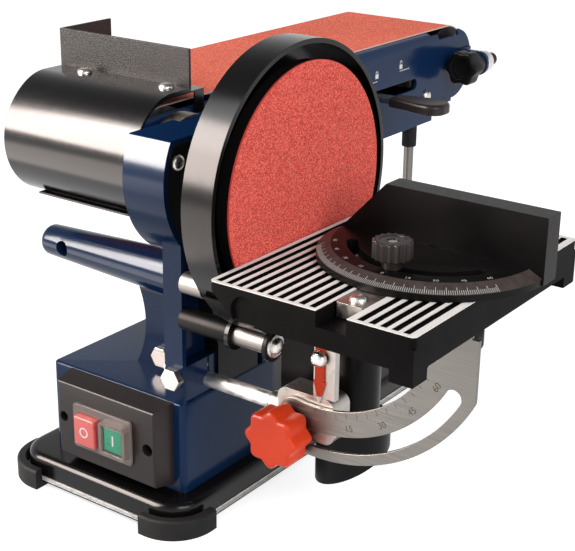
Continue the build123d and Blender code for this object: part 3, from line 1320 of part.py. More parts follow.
def idler_roller():
    """Hollow roller with a bearing seat at each end."""
    x0 = BELT_X0 + IDLER_SIDE
    x1 = BELT_X1 - IDLER_SIDE
    body = rod_x(DRUM_R, x0, x1) - rod_x(DRUM_R - DRUM_WALL, x0, x1)
    for end in (x0, x1 - IDLER_BEARING_W):
        body += rod_x(DRUM_R - DRUM_WALL, end, end + IDLER_BEARING_W)
    body -= rod_x(IDLER_BEARING_R + FIT, x0, x1)
    return Pos(0, IDLER_Y, 0) * body


def idler_bearings():
    x0 = BELT_X0 + IDLER_SIDE
    x1 = BELT_X1 - IDLER_SIDE - IDLER_BEARING_W
    return [Pos(0, IDLER_Y, 0) * bearing(x, IDLER_BEARING_R, AXLE_R + RUN, IDLER_BEARING_W) for x in (x0, x1)]


def tracking_bracket():
    """Angle on the near cheek that carries the tracking screw."""
    half = TRACK_LUG_H / 2
    x1 = TRACK_X + TRACK_COLLAR_R
    plate = block(
        ARM_X1, ARM_X1 + TRACK_PLATE_T,
        TRACK_LUG_Y, IDLER_Y + ARM_REAR_R - TRACK_LUG_T,
        TRACK_Z - half, TRACK_Z + half,
    )
    lug = block(ARM_X1, x1, TRACK_LUG_Y, TRACK_LUG_Y + TRACK_LUG_T, TRACK_Z - half, TRACK_Z + half)
    lug = fillet(lug.edges().filter_by(Axis.Y).group_by(Axis.X)[-1], TRACK_COLLAR_R)
    return plate + lug - rod_y(TRACK_SCREW_R + RUN, TRACK_LUG_Y, TRACK_LUG_Y + TRACK_LUG_T, TRACK_X, TRACK_Z)


def tracking_knob():
    """Lobed knob with a sunk face, its screw, collar and lock nut."""
    y0 = IDLER_Y - TRACK_AHEAD
    y1 = y0 + TRACK_KNOB_L
    outline = Pos(TRACK_X, TRACK_Z) * lobed(TRACK_KNOB_R, TRACK_LOBES, TRACK_KNOB_R / 8)
    body = along_y(outline, y0, y0 + TRACK_LOBE_L)
    body += rod_y(TRACK_NECK_R, y0 + TRACK_LOBE_L, y1, TRACK_X, TRACK_Z)
    body -= rod_y(TRACK_KNOB_R * 0.6, y0, y0 + TRACK_CUP, TRACK_X, TRACK_Z)
    collar0 = TRACK_LUG_Y + TRACK_LUG_T + GAP
    collar1 = collar0 + TRACK_COLLAR_L
    body += rod_y(TRACK_SCREW_R, y1, collar0, TRACK_X, TRACK_Z)
    body += rod_y(TRACK_COLLAR_R, collar0, collar1, TRACK_X, TRACK_Z)
    return body + rod_y(TRACK_TAIL_R, collar1, collar1 + TRACK_TAIL_L, TRACK_X, TRACK_Z)


PIECES = [
    base_pan, rubber_feet, base_housing, drive_upright, bar_and_web, drive_cover, panel_screws,
    bearing_carrier, spindle_bearings, spindle_shaft, driven_pulley, motor_pulley, toothed_belt,
    motor_body, motor_shaft, drive_drum, disc_plate, abrasive_disc, disc_guard, guard_spacers,
    dust_hood, dust_port, switch_box, switch_unit, stop_button, start_button, rod_clamp, hex_bolts,
    prop_rod, prop_cap, cable_gland, table_rod, end_block, pivot_post, pivot_bolt, tilt_pointer,
    pointer_screw, tilt_knob, work_table, tilt_quadrant, mitre_bar, bar_screw, mitre_head, mitre_knob,
    arm_channel, belt_tray, arm_screws, abrasive_belt, drum_cover, stop_fence, lever_pivot, lever_shank,
    lever_grip, idler_fork, tension_spring, idler_axle, idler_roller, idler_bearings, tracking_bracket,
    tracking_knob,
]


def solids_of(made):
    """Every solid of a piece or group of like pieces."""
    group = made if isinstance(made, list) else [made]
    return [solid for item in group for solid in item.solids()]


def main():
    os.makedirs("parts", exist_ok=True)
    nodes = {piece.__name__: solids_of(piece()) for piece in PIECES}
    box = Compound([solid for solids in nodes.values() for solid in solids]).bounding_box()
    move = Pos(-box.center().X, -box.center().Y, -box.min.Z)
    print("moved by", tuple(round(v, 4) for v in move.position))
    for name, solids in nodes.items():
        export_step(move * Compound(solids), f"parts/{name}.step")


main()
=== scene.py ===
import json
from math import cos, pi, radians, sin

import bmesh
import bpy
from bpy.props import FloatProperty, FloatVectorProperty, IntProperty, PointerProperty
from mathutils import Matrix, Vector


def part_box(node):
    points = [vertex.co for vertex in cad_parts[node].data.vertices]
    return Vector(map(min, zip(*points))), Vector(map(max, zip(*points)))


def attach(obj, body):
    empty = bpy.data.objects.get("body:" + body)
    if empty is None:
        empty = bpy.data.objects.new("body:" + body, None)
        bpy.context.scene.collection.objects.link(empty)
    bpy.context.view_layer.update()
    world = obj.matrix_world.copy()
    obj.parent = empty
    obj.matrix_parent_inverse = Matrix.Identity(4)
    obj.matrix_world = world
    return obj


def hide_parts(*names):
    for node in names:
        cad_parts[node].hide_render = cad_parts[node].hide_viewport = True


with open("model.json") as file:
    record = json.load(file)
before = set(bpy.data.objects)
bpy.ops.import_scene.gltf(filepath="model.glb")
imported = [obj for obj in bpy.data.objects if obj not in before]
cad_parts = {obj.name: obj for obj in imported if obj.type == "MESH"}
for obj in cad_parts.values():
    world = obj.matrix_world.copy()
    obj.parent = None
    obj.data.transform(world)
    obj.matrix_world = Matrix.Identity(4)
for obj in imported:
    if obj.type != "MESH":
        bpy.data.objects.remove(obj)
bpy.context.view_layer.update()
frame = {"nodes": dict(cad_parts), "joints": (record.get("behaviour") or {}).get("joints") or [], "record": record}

bl_info = {
    "name": "Belt and disc sander",
    "version": (1, 0, 0),
    "blender": (4, 5, 0),
    "location": "3D View > Sidebar > Sander",
    "description": "Finishes a bench belt and disc sander piece by piece",
    "category": "Object",
}

MM = 0.001
NODES = frame["nodes"]
PIVOTS = {joint["name"]: Vector(joint["pos_m"]) for joint in frame["joints"]}
BODY_OF = {node: body for body, nodes in frame["record"]["behaviour"]["bodies"].items() for node in nodes}
FACING_UP = Matrix.Identity(4)
FACING_FRONT = Matrix.Rotation(radians(90), 4, "X")
FACING_SIDE = Matrix(((0, 0, 1, 0), (1, 0, 0, 0), (0, 1, 0, 0), (0, 0, 0, 1)))
WELD = 1e-6  # points nearer than this are one
FLAT = radians(0.4)  # faces that meet at a smaller angle are one
SHARP = 32  # degrees over which an edge stays sharp
KNOB_SHARP = 40
KNOB_STEPS = 240  # points round a lobed knob
STUD_STEPS = 32
COOL_SHINE = (0.84, 0.94, 1.0)
STAGE_AIM = (0, -0.05, 0.15)
LAMPS = (  # name, place, aim, width, height, power, and whether it shows in gloss only
    ("key_lamp", (-0.75, -1.05, 1.25), STAGE_AIM, 0.9, 0.9, "key", False),
    ("fill_lamp", (1.2, -0.6, 0.9), STAGE_AIM, 0.9, 0.9, "fill", False),
    ("gloss_panel", (-0.86, -1.11, 0.76), STAGE_AIM, 0.8, 0.95, "panel", True),
    ("gloss_bounce", (-0.50, -0.80, 0.01), (-0.50, -0.80, 1.0), 0.7, 0.95, "bounce", True),
)


def tint(red, green, blue):
    """Linear colour of an 8-bit display colour."""
    return tuple(((level / 255 + 0.055) / 1.055) ** 2.4 for level in (red, green, blue))


def colour(name, description, *levels):
    return FloatVectorProperty(
        name=name, description=description, subtype="COLOR", min=0, max=1, default=tint(*levels)
    )


def length(name, description, millimetres):
    return FloatProperty(
        name=name, description=description, unit="LENGTH", precision=5, default=millimetres * MM
    )


def angle(name, description, degrees):
    return FloatProperty(name=name, description=description, subtype="ANGLE", default=radians(degrees))


def power(name, description, watts):
    return FloatProperty(name=name, description=description, unit="POWER", min=0, default=watts)


def count(name, description, default, least=3):
    return IntProperty(name=name, description=description, default=default, min=least)


class SanderColours(bpy.types.PropertyGroup):
    """Colours of the paints, plastics, metals and abrasive."""

    navy: colour("Navy paint", "Housing, upright, bar and belt arm", 17, 42, 78)
    black: colour("Black paint", "Pan, guard, drum cover and mitre head", 16, 14, 14)
    plastic: colour("Black plastic", "Hood, hose socket, drive cover and tracking knob", 18, 17, 16)
    rubber: colour("Rubber", "Feet and the cap of the prop", 20, 19, 19)
    steel: colour("Steel", "Axles, bolts, spacers and the quadrant", 186, 182, 176)
    zinc: colour("Zinc plate", "Mitre bar, post and block", 172, 167, 161)
    bright: colour("Bright metal", "Screws, table rod and milled ribs", 236, 233, 229)
    knob_red: colour("Knob red", "Tilt knob and pointer", 226, 64, 26)
    stop_red: colour("Stop red", "Stop button", 228, 104, 98)
    start_green: colour("Start green", "Start button", 40, 152, 114)
    clear: colour("Clear plastic", "Frame of the switch", 178, 160, 152)
    grit: colour("Abrasive disc", "Middle colour of the disc's grit", 228, 83, 73)
    belt_grit: colour("Abrasive belt", "Middle colour of the belt's grit", 255, 101, 80)
    backing: colour("Abrasive backing", "Cut edges of the abrasive belt", 232, 205, 195)
    warm_plastic: colour("Warm plastic", "Switch box, lever grip and mitre knob", 40, 33, 31)
    # Protractor rim: a painted sheen on the mitre head's bevel, a colour lighter than the black.
    rim: colour("Protractor rim", "Worn bevel of the mitre head", 70, 61, 58)
    print_white: colour("White print", "Marks and figures", 232, 232, 230)


class SanderSizes(bpy.types.PropertyGroup):
    """Sizes of the small details."""

    edge: length("Edge rounding", "Rounding of sheet and cast edges", 0.35)
    soft_edge: length("Moulded rounding", "Rounding of moulded edges", 0.6)
    grip_edge: length("Grip rounding", "Rounding of the lever's grip", 1.2)
    head_radius: length("Screw head radius", "Cross-head screws", 5.0)
    head_height: length("Screw head height", "Cross-head screws", 3.2)
    recess: length("Screw recess", "Length of each arm of the cross, tip to tip", 3.0)
    washer_height: length("Washer height", "Washers under the heads that have one", 1.2)
    mark_width: length("Mark width", "Width of a scale mark", 0.32)
    mark_height: length("Mark height", "How far print and marks stand proud", 0.06)
    figure: length("Figure size", "Height of the scale figures", 4.2)
    tilt_lobes: count("Tilt knob lobes", "Lobes of the red knob", 8)
    tracking_lobes: count("Tracking knob lobes", "Lobes of the belt knob", 6)
    flutes: count("Mitre knob flutes", "Flutes of the mitre knob", 16, 6)
    groove_pitch: length("Groove pitch", "From groove to groove on the table", 6.8)
    groove_width: length("Groove width", "Width of each groove on the table", 4.3)
    groove_depth: length("Groove depth", "Depth of each groove on the table", 1.5)
    groove_end: length("Groove end", "Plain border at both ends of the grooves", 2.6)
    coil_turns: count("Spring turns", "Turns of the tension spring", 7, 2)
    coil_wire: length("Spring wire", "Radius of the spring's wire", 0.9)


class SanderStudio(bpy.types.PropertyGroup):
    """Camera and lamps."""

    lens: FloatProperty(name="Focal length", description="For a 36 mm wide sensor", unit="CAMERA", default=83.84)
    place: FloatVectorProperty(
        name="Camera", description="Place of the camera", subtype="TRANSLATION", unit="LENGTH",
        default=(0.464247, -0.765831, 0.458872),
    )
    azimuth: angle("Azimuth", "Turn of the camera round the object", 35.645)
    elevation: angle("Elevation", "Height of the camera as an angle", 20.824)
    roll: angle("Roll", "Lean of the picture", 0.803)
    sky: FloatProperty(name="Sky", description="Even light from all round", default=0.42, min=0)
    key: power("Key lamp", "Soft lamp over the left front", 13.0)
    fill: power("Fill lamp", "Soft lamp on the right", 14.0)
    panel: power("Panel", "Tall panel at the left front that shows in gloss only", 66.0)
    bounce: power("Bounce", "Bright floor at the left front that shows in gloss only", 6.5)
    warmth: colour("Warmth", "Tint of the panel and the bounce", 255, 239, 231)
    ceiling: FloatProperty(name="Ceiling", description="Brightness straight above", default=0.16, min=0)
    floor_glow: FloatProperty(name="Floor glow", description="What brings the floor to white", default=0.74)
    floor_grey: FloatProperty(name="Floor", description="Paleness of the floor", default=0.62)


def sizes():
    return bpy.context.scene.sander_sizes


def put(tree, kind, inputs=None, **settings):
    """A node with its settings, and with a value or a link on each named input."""
    node = tree.nodes.new(kind)
    for key, value in settings.items():
        setattr(node, key, value)
    for key, value in (inputs or {}).items():
        if isinstance(value, bpy.types.NodeSocket):
            tree.links.new(value, node.inputs[key])
        else:
            node.inputs[key].default_value = value
    return node


def tree_of(inputs):
    """The tree that the inputs come from."""
    return next(value.id_data for value in inputs.values() if isinstance(value, bpy.types.NodeSocket))


def out(kind, inputs, **settings):
    """The first output of a new node, in the tree that its inputs come from."""
    return put(tree_of(inputs), kind, inputs, **settings).outputs[0]


def feed(node, key, socket):
    socket.id_data.links.new(socket, node.inputs[key])


def calc(operation, *values):
    return out("ShaderNodeMath", dict(enumerate(values)), operation=operation)


def times(first, second):
    return calc("MULTIPLY", first, second)


def minus(first, second):
    return calc("SUBTRACT", first, second)


def vectors(operation, *values):
    return out("ShaderNodeVectorMath", dict(enumerate(values)), operation=operation)


def xyz(*parts):
    return out("ShaderNodeCombineXYZ", dict(enumerate(parts)))


def part_of(place, axis):
    return put(place.id_data, "ShaderNodeSeparateXYZ", {0: place}).outputs[axis]


def shade(hue, factor):
    return tuple(min(1.0, part * factor) for part in hue)


def clouds(place, scale, detail=2):
    return out("ShaderNodeTexNoise", {"Vector": place, "Scale": scale, "Detail": detail})


def lines(place, scale):
    """Fine lines, drawn out by the scale on each axis."""
    return clouds(out("ShaderNodeMapping", {"Vector": place, "Scale": scale}), 1, 3)


def spread(value, low, high, start=0.3, end=0.7):
    """The value drawn out to run from low to high."""
    stops = {"Value": value, "From Min": start, "From Max": end, "To Min": low, "To Max": high}
    return out("ShaderNodeMapRange", stops)


def shades(value, hue, *stops):
    """Shades of a colour along the value; each stop has a place and a factor."""
    ramp = put(value.id_data, "ShaderNodeValToRGB", {"Fac": value})
    for index, (at, factor) in enumerate(stops):
        element = ramp.color_ramp.elements[index] if index < 2 else ramp.color_ramp.elements.new(at)
        element.position = at
        element.color = (*shade(hue, factor), 1)
    return ramp.outputs[0]


def mottled(value, hue, low, high):
    """The colour from a darker to a lighter shade."""
    return shades(value, hue, (0.3, low), (0.7, high))


def drift(place, hue, scale, low, high, detail=3):
    """A colour whose shade drifts over the surface."""
    return mottled(clouds(place, scale, detail), hue, low, high)


def blended(mask, first, second, **settings):
    inputs = {0: mask, 6: first, 7: second}
    return put(tree_of(inputs), "ShaderNodeMix", inputs, data_type="RGBA", **settings).outputs[2]


def above(place, axis, level):
    """1 where the place lies above a level on an axis, else 0."""
    return calc("GREATER_THAN", part_of(place, axis), level)


def layer(place, low, high):
    """1 between two heights, else 0."""
    return minus(above(place, 2, low), above(place, 2, high))


def distance(place, centre, axes):
    """Distance from a centre, counted on the chosen axes."""
    spot = vectors("MULTIPLY", vectors("SUBTRACT", place, centre), axes)
    return put(spot.id_data, "ShaderNodeVectorMath", {0: spot}, operation="LENGTH").outputs["Value"]


def surface(name, hue, roughness, specular=0.5, metallic=0.0):
    """The shader of a new material, and the place on the object."""
    material = bpy.data.materials.new(name)
    material.use_nodes = True
    shader = material.node_tree.nodes["Principled BSDF"]
    shader.inputs["Base Color"].default_value = (*hue, 1)
    shader.inputs["Roughness"].default_value = roughness
    shader.inputs["Specular IOR Level"].default_value = specular
    shader.inputs["Metallic"].default_value = metallic
    return shader, put(material.node_tree, "ShaderNodeTexCoord").outputs["Object"]


def rough(shader, value, low, high):
    feed(shader, "Roughness", spread(value, low, high))


def relief(shader, height, strength, depth):
    """Bump of a depth in millimetres."""
    bump = out("ShaderNodeBump", {"Height": height, "Strength": strength, "Distance": depth * MM})
    feed(shader, "Normal", bump)


def coated(name, hue, roughness, specular, tone, wear=None, bumps=None, metallic=0.0):
    """A surface whose shade drifts; wear and bumps are each a scale, a detail and what rough or relief takes."""
    shader, place = surface(name, hue, roughness, specular, metallic)
    feed(shader, "Base Color", drift(place, hue, *tone))
    for given, use in ((wear, rough), (bumps, relief)):
        if given:
            scale, detail, *values = given
            use(shader, clouds(place, scale, detail), *values)
    return shader, place


def overlaid(shader, mask, colours):
    """Lays other colours over the base colour where the mask is 1."""
    base = shader.inputs["Base Color"].links[0].from_socket
    feed(shader, "Base Color", blended(mask, base, colours))


def gloss_paint(name, hue, roughness, specular, peel=0.1, shine=(1.0, 1.0, 1.0)):
    """Sprayed gloss paint with a faint orange peel and a tint on its shine."""
    wear = (260, 3, roughness * 0.93, roughness * 1.08)
    shader, place = coated(name, hue, roughness, specular, (14, 0.9, 1.08), wear, (620, 1, peel, 0.012))
    shader.inputs["Specular Tint"].default_value = (*shine, 1)
    return shader, place


def moulding(name, hue, roughness, specular, grain=1900, strength=0.12):
    """Moulded plastic or rubber with a spark-eroded grain."""
    wear = (110, 3, roughness * 0.88, roughness * 1.12)
    coated(name, hue, roughness, specular, (22, 0.9, 1.12), wear, (grain, 2, strength, 0.06))


def plated(name, hue, roughness):
    """Bright plating with faint cloudy patches and hairlines."""
    wear = (240, 4, roughness * 0.7, roughness * 1.35)
    coated(name, hue, roughness, 0.5, (60, 0.88, 1.06), wear, (900, 2, 0.08, 0.02), metallic=1.0)


def crinkle_paint(name, hue, roughness, specular):
    """Baked black paint with a fine crinkle."""
    shader, place = surface(name, hue, roughness, specular)
    grain = clouds(place, 1500, 2)
    # Painted light and shade: the grain's shades, from dark pits to light specks, stand for light caught on the
    # crinkle's relief.
    feed(shader, "Base Color", shades(grain, hue, (0.34, 0.25), (0.5, 1), (0.66, 4.0)))
    rough(shader, grain, roughness * 1.35, roughness * 0.7)
    relief(shader, grain, 1.0, 0.2)


def brushed(name, hue, roughness, scale):
    """Metal with fine lines, drawn out by the scale on each axis."""
    shader, place = surface(name, hue, roughness, metallic=1.0)
    grain = lines(place, scale)
    feed(shader, "Base Color", mottled(grain, hue, 0.82, 1.06))
    rough(shader, grain, roughness * 0.8, roughness * 1.2)
    relief(shader, grain, 0.05, 0.01)


def graded_gloss(name, hues, low, high, top, gain):
    """Navy paint whose shine grows between two heights, up to a flat top."""
    shader, place = gloss_paint(name, hues.navy, 0.16, 0.1, shine=COOL_SHINE)
    height = part_of(place, 2)
    shine = times(spread(height, 0.08, gain, low, high), calc("LESS_THAN", height, top))
    feed(shader, "Specular IOR Level", shine)


def bar_gloss(name, hues):
    """Navy paint that shines on the bar and less on the web below it."""
    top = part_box("bar_and_web")[1].z
    graded_gloss(name, hues, top - 33 * MM, top - 30 * MM, top, 0.3)


def bell_gloss(name, hues):
    """Navy paint that shines most over the round of the bell."""
    middle, top = PIVOTS["spindle_turn"].z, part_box("drive_upright")[1].z - 0.7 * MM
    graded_gloss(name, hues, middle - 6 * MM, middle + 16 * MM, top, 0.48)


def pan_gloss(name, hues):
    """Gloss black with a painted highlight along its lower edge."""
    wear, bumps = (260, 3, 0.17, 0.23), (620, 1, 0.06, 0.012)
    shader, place = coated(name, hues.black, 0.2, 0.25, (30, 0.9, 1.2), wear, bumps)
    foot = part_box("base_pan")[0].z
    # Painted highlight: a pale band just above the foot stands for the floor's reflection along the rim.
    thin = layer(place, foot + 1.2 * MM, foot + 2.6 * MM)
    overlaid(shader, thin, drift(place, hues.bright, 240, 0.62, 0.9))


def protractor_black(name, hues):
    """Satin black whose bevelled rim has a painted sheen, a lighter colour."""
    wear, bumps = (260, 3, 0.31, 0.37), (620, 1, 0.16, 0.012)
    shader, place = coated(name, hues.black, 0.34, 0.09, (30, 0.8, 1.15), wear, bumps)
    pivot, foot = PIVOTS["mitre_angle"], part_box("mitre_head")[0].z
    # Painted sheen: the bevel outside the flat top gets a lighter colour for the sheen it catches.
    outside = calc("GREATER_THAN", distance(place, pivot, (1, 1, 0)), 59.5 * MM)
    raised = layer(place, foot + 3.95 * MM, foot + 8.05 * MM)
    ahead = minus(1.0, above(place, 1, pivot.y - 3.05 * MM))
    bevel = times(times(outside, raised), ahead)
    overlaid(shader, bevel, drift(place, hues.rim, 160, 0.75, 1.15))


def hazy_clear(name, hues):
    """Clear plastic with a slight haze."""
    shader = coated(name, hues.clear, 0.16, 0.25, (40, 0.92, 1.04), (300, 2, 0.1, 0.24))[0]
    shader.inputs["Transmission Weight"].default_value = 0.55
    shader.inputs["IOR"].default_value = 1.49


def disc_grit(name, hues):
    """Grit with its size coat run over the rim."""
    low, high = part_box("abrasive_disc")
    grit_coat(name, hues.grit, shade(hues.grit, 0.9), (low + high) / 2, (0, 1, 1), (high.z - low.z) / 2)


def belt_grit(name, hues):
    """Grit with pale cut edges at both sides."""
    low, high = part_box("abrasive_belt")
    grit_coat(name, hues.belt_grit, hues.backing, (low + high) / 2, (1, 0, 0), (high.x - low.x) / 2)


def grit_coat(name, hue, edge, middle, axes, reach):
    """Closely set grains in a red size coat, with another colour at the cut edge."""
    shader, place = surface(name, hue, 0.85, 0.2)
    cells = put(place.id_data, "ShaderNodeTexVoronoi", {"Vector": place, "Scale": 2500}).outputs["Color"]
    grain = clouds(place, 1750, 3)
    mixed = calc("ADD", times(out("ShaderNodeSeparateColor", {0: cells}), 0.42), times(grain, 0.58))
    speckle = shades(mixed, hue, (0.28, 0.34), (0.44, 0.8), (0.57, 1.15), (0.68, 3.0))
    face = blended(1.0, speckle, spread(clouds(place, 9, 2), 0.93, 1.07), blend_type="MULTIPLY")
    cut = calc("COMPARE", distance(place, middle, axes), reach, 0.15 * MM)
    feed(shader, "Base Color", blended(cut, face, (*edge, 1)))
    rough(shader, grain, 0.75, 0.95)
    relief(shader, mixed, 0.7, 0.25)


def ribbed_top(name, hues):
    """Black casting whose highest faces are milled bright."""
    shader, place = coated(name, hues.black, 0.4, 0.03, (60, 0.7, 1.2), bumps=(700, 2, 0.12, 0.05))
    milled = above(place, 2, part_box("work_table")[1].z - 0.4 * MM)
    overlaid(shader, milled, mottled(lines(place, (900, 40, 40)), hues.bright, 0.86, 1.05))
    feed(shader, "Metallic", spread(milled, 0.0, 0.25, 0, 1))
    feed(shader, "Roughness", spread(milled, 0.5, 0.55, 0, 1))


def tipped_red(name, hues):
    """Red paint with a white end."""
    shader, place = coated(name, hues.knob_red, 0.4, 0.15, (80, 0.85, 1.1, 2), (260, 2, 0.3, 0.48))
    tip = minus(1.0, above(place, 2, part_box("tilt_pointer")[0].z + 5 * MM))
    overlaid(shader, tip, (*hues.print_white, 1))


PLAIN_FINISHES = {  # family, colour and its factor, and then the family's own settings
    "navy_paint": (gloss_paint, "navy", 1, 0.18, 0.14, 0.1, COOL_SHINE),
    "black_gloss": (gloss_paint, "black", 1, 0.2, 0.25, 0.06),
    "cover_gloss": (gloss_paint, "black", 1, 0.19, 0.45, 0.05),
    "black_satin": (gloss_paint, "black", 1.2, 0.34, 0.12, 0.16),
    "black_crinkle": (crinkle_paint, "black", 1.6, 0.42, 0.33),
    "black_moulding": (moulding, "plastic", 1, 0.36, 0.11),
    "warm_moulding": (moulding, "warm_plastic", 1, 0.33, 0.24, 1500, 0.16),
    "soft_rubber": (moulding, "rubber", 1, 0.68, 0.25, 1200, 0.2),
    "toothed_rubber": (moulding, "rubber", 0.8, 0.6, 0.25, 1600, 0.2),
    "knob_red": (moulding, "knob_red", 1, 0.36, 0.26, 1500, 0.06),
    "stop_red": (moulding, "stop_red", 1, 0.3, 0.45, 1500, 0.04),
    "start_green": (moulding, "start_green", 1, 0.3, 0.45, 1500, 0.04),
    "white_print": (moulding, "print_white", 1, 0.5, 0.3, 2600, 0.05),
    "faint_print": (moulding, "print_white", 0.5, 0.5, 0.3, 2600, 0.05),
    "dark_print": (moulding, "steel", 0.2, 0.5, 0.3, 2600, 0.05),
    "zinc_plate": (plated, "zinc", 1, 0.36),
    "bright_plate": (plated, "bright", 0.84, 0.27),
    "satin_rod": (plated, "bright", 0.86, 0.5),
    "dark_casting": (plated, "steel", 0.45, 0.45),
    "drawn_steel": (brushed, "steel", 1, 0.32, (40, 900, 900)),
    "sheet_steel": (brushed, "steel", 0.4, 0.42, (30, 900, 1400)),
}
PLACED_FINISHES = {
    build.__name__: build
    for build in (
        bar_gloss, bell_gloss, pan_gloss, protractor_black, hazy_clear, disc_grit, belt_grit, ribbed_top,
        tipped_red,
    )
}


def finish(name):
    """The named finish, built at its first use."""
    if name not in bpy.data.materials:
        hues = bpy.context.scene.sander_colours
        if name in PLACED_FINISHES:
            PLACED_FINISHES[name](name, hues)
        else:
            family, hue, factor, *settings = PLAIN_FINISHES[name]
            family(name, shade(getattr(hues, hue), factor), *settings)
    return bpy.data.materials[name]


def linked(name, data):
    made = bpy.data.objects.new(name, data)
    bpy.context.scene.collection.objects.link(made)
    return made


def settled(name, mesh, body, material, stands_for=()):
    """A finished mesh as an object that rides on its body."""
    mesh.materials.clear()
    mesh.materials.append(finish(material))
    piece = linked(name, mesh)
    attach(piece, body)
    if stands_for:
        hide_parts(*stands_for)
    return piece


def smoothed(shape, name, limit=SHARP):
    """The shape as a mesh, smooth but for its sharp edges."""
    mesh = bpy.data.meshes.new(name)
    shape.verts.index_update()
    faces = [[vert.index for vert in face.verts] for face in shape.faces]
    mesh.from_pydata([vert.co[:] for vert in shape.verts], [], faces)
    shape.free()
    mesh.shade_smooth()
    mesh.set_sharp_from_angle(angle=radians(limit))
    return mesh


def added(name, shape, node, material, slot=None, stands_for=(), limit=SHARP):
    """A form that belongs to a CAD node as a piece, with the given finish; the slot is not used."""
    return settled(name, smoothed(shape, name, limit), BODY_OF[node], material, stands_for)


def welded(mesh):
    """A mesh as one closed form."""
    shape = bmesh.new()
    shape.from_mesh(mesh)
    bmesh.ops.remove_doubles(shape, verts=shape.verts, dist=WELD)
    return shape


def merged(shape):
    """The form with its flat faces in one."""
    bmesh.ops.dissolve_limit(shape, angle_limit=FLAT, verts=shape.verts, edges=shape.edges)
    return shape


def dressed(node, material, edge="edge", shape=None):
    """A copy of a CAD node, or a form made from one, with rounded edges and a finish, in place of the node."""
    piece = added(node + "_dressed", shape or merged(welded(NODES[node].data)), node, material, None, [node])
    if edge:
        rounding = piece.modifiers.new("rounded_edges", "BEVEL")
        rounding.width = getattr(sizes(), edge)
        rounding.segments = 2
        rounding.limit_method = "ANGLE"
        rounding.angle_limit = radians(34)
        rounding.harden_normals = True


def carried(material, *nodes):
    """CAD nodes that stay as they are, with a finish of their own."""
    for node in nodes:
        mesh = NODES[node].data
        mesh.materials.clear()
        mesh.materials.append(finish(material))


def placed(x, y, z, facing=FACING_UP):
    return Matrix.Translation((x, y, z)) @ facing


def turned(shape, profile, place, steps=48, lobes=0):
    """Adds a closed form turned about local Z; each ring has a radius, a height and a hollow, in millimetres."""
    rings = []
    for radius, height, *hollow in profile:
        ring = []
        for step in range(steps):
            turn = 2 * pi * step / steps
            reach = (radius - sum(hollow) * (0.5 - 0.5 * cos(lobes * turn))) * MM
            ring.append(shape.verts.new(place @ Vector((reach * cos(turn), reach * sin(turn), height * MM))))
        rings.append(ring)
    for low, high in zip(rings, rings[1:]):
        for step in range(steps):
            after = (step + 1) % steps
            shape.faces.new((low[step], low[after], high[after], high[step]))
    shape.faces.new(list(reversed(rings[0])))
    shape.faces.new(rings[-1])


def turned_piece(name, node, material, place, *forms, **settings):
    """Turned forms as one piece; each has its profile, its steps and, on a knob, its lobes."""
    shape = bmesh.new()
    for profile, *counts in forms:
        turned(shape, profile, place, *counts)
    added(name, shape, node, material, **settings)


def rounded(radius, low, high, corner, hollow=0.0, steps=5):
    """Profile of a disc with a rounded top edge and a rounded bottom edge."""
    turns = [pi / 2 * i / steps for i in range(steps + 1)]
    inner = radius - corner
    bottom = [(inner + corner * sin(turn), low + corner - corner * cos(turn), hollow) for turn in turns]
    return bottom + [(inner + corner * cos(turn), high - corner + corner * sin(turn), hollow) for turn in turns]


def slab(shape, outline, place, thickness, unit=1.0):
    """Adds a flat plate on local XY with the given outline, in metres or another unit."""
    low, high = [
        [shape.verts.new(place @ Vector((x * unit, y * unit, level))) for x, y in outline]
        for level in (0, thickness)
    ]
    shape.faces.new(list(reversed(low)))
    shape.faces.new(high)
    for index in range(len(outline)):
        after = (index + 1) % len(outline)
        shape.faces.new((low[index], low[after], high[after], high[index]))


def printed(name, node, outlines, place):
    """Raised white signs of the given outlines, in millimetres, as one piece."""
    shape = bmesh.new()
    for outline in outlines:
        slab(shape, outline, place, sizes().mark_height, MM)
    added(name, shape, node, "white_print")


def arc(radius, start, end, steps=24):
    """Points of an arc, in degrees."""
    turns = [radians(start + (end - start) * i / steps) for i in range(steps + 1)]
    return [(radius * cos(turn), radius * sin(turn)) for turn in turns]


def bow(outer, inner):
    """Outline of a strip bent to a half ring."""
    return arc(outer, 0, 180) + arc(inner, 180, 0)


def bar(width, height):
    return [(x * width / 2, y * height / 2) for x, y in ((-1, -1), (1, -1), (1, 1), (-1, 1))]


def shifted(outline, x, y):
    return [(u + x, v + y) for u, v in outline]


def figures(name, node, material, place, radius, height, degrees, size):
    """Raised figures round an arc as one piece."""
    shape = bmesh.new()
    for number in degrees:
        letters = bpy.data.curves.new("figures", "FONT")
        letters.body = str(abs(number))
        letters.size = sizes().figure * size
        letters.align_x = letters.align_y = "CENTER"
        letters.extrude = sizes().mark_height / 2
        holder = linked("figures", letters)
        mesh = bpy.data.meshes.new_from_object(holder)
        at = placed(0, -radius * MM, height * MM + sizes().mark_height / 2)
        mesh.transform(place @ Matrix.Rotation(radians(number), 4, "Z") @ at)
        shape.from_mesh(mesh)
        bpy.data.objects.remove(holder)
        bpy.data.curves.remove(letters)
        bpy.data.meshes.remove(mesh)
    added(name, shape, node, material)


def node_tree(name, **inputs):
    """A geometry tree with a geometry input, the named inputs of each kind and a material input."""
    tree = bpy.data.node_groups.new(name, "GeometryNodeTree")
    tree.interface.new_socket("Geometry", in_out="OUTPUT", socket_type="NodeSocketGeometry")
    for kind, labels in {"Geometry": ["Geometry"], **inputs, "Material": ["Material"]}.items():
        for label in labels:
            tree.interface.new_socket(label, in_out="INPUT", socket_type="NodeSocket" + kind)
    return tree, put(tree, "NodeGroupInput").outputs


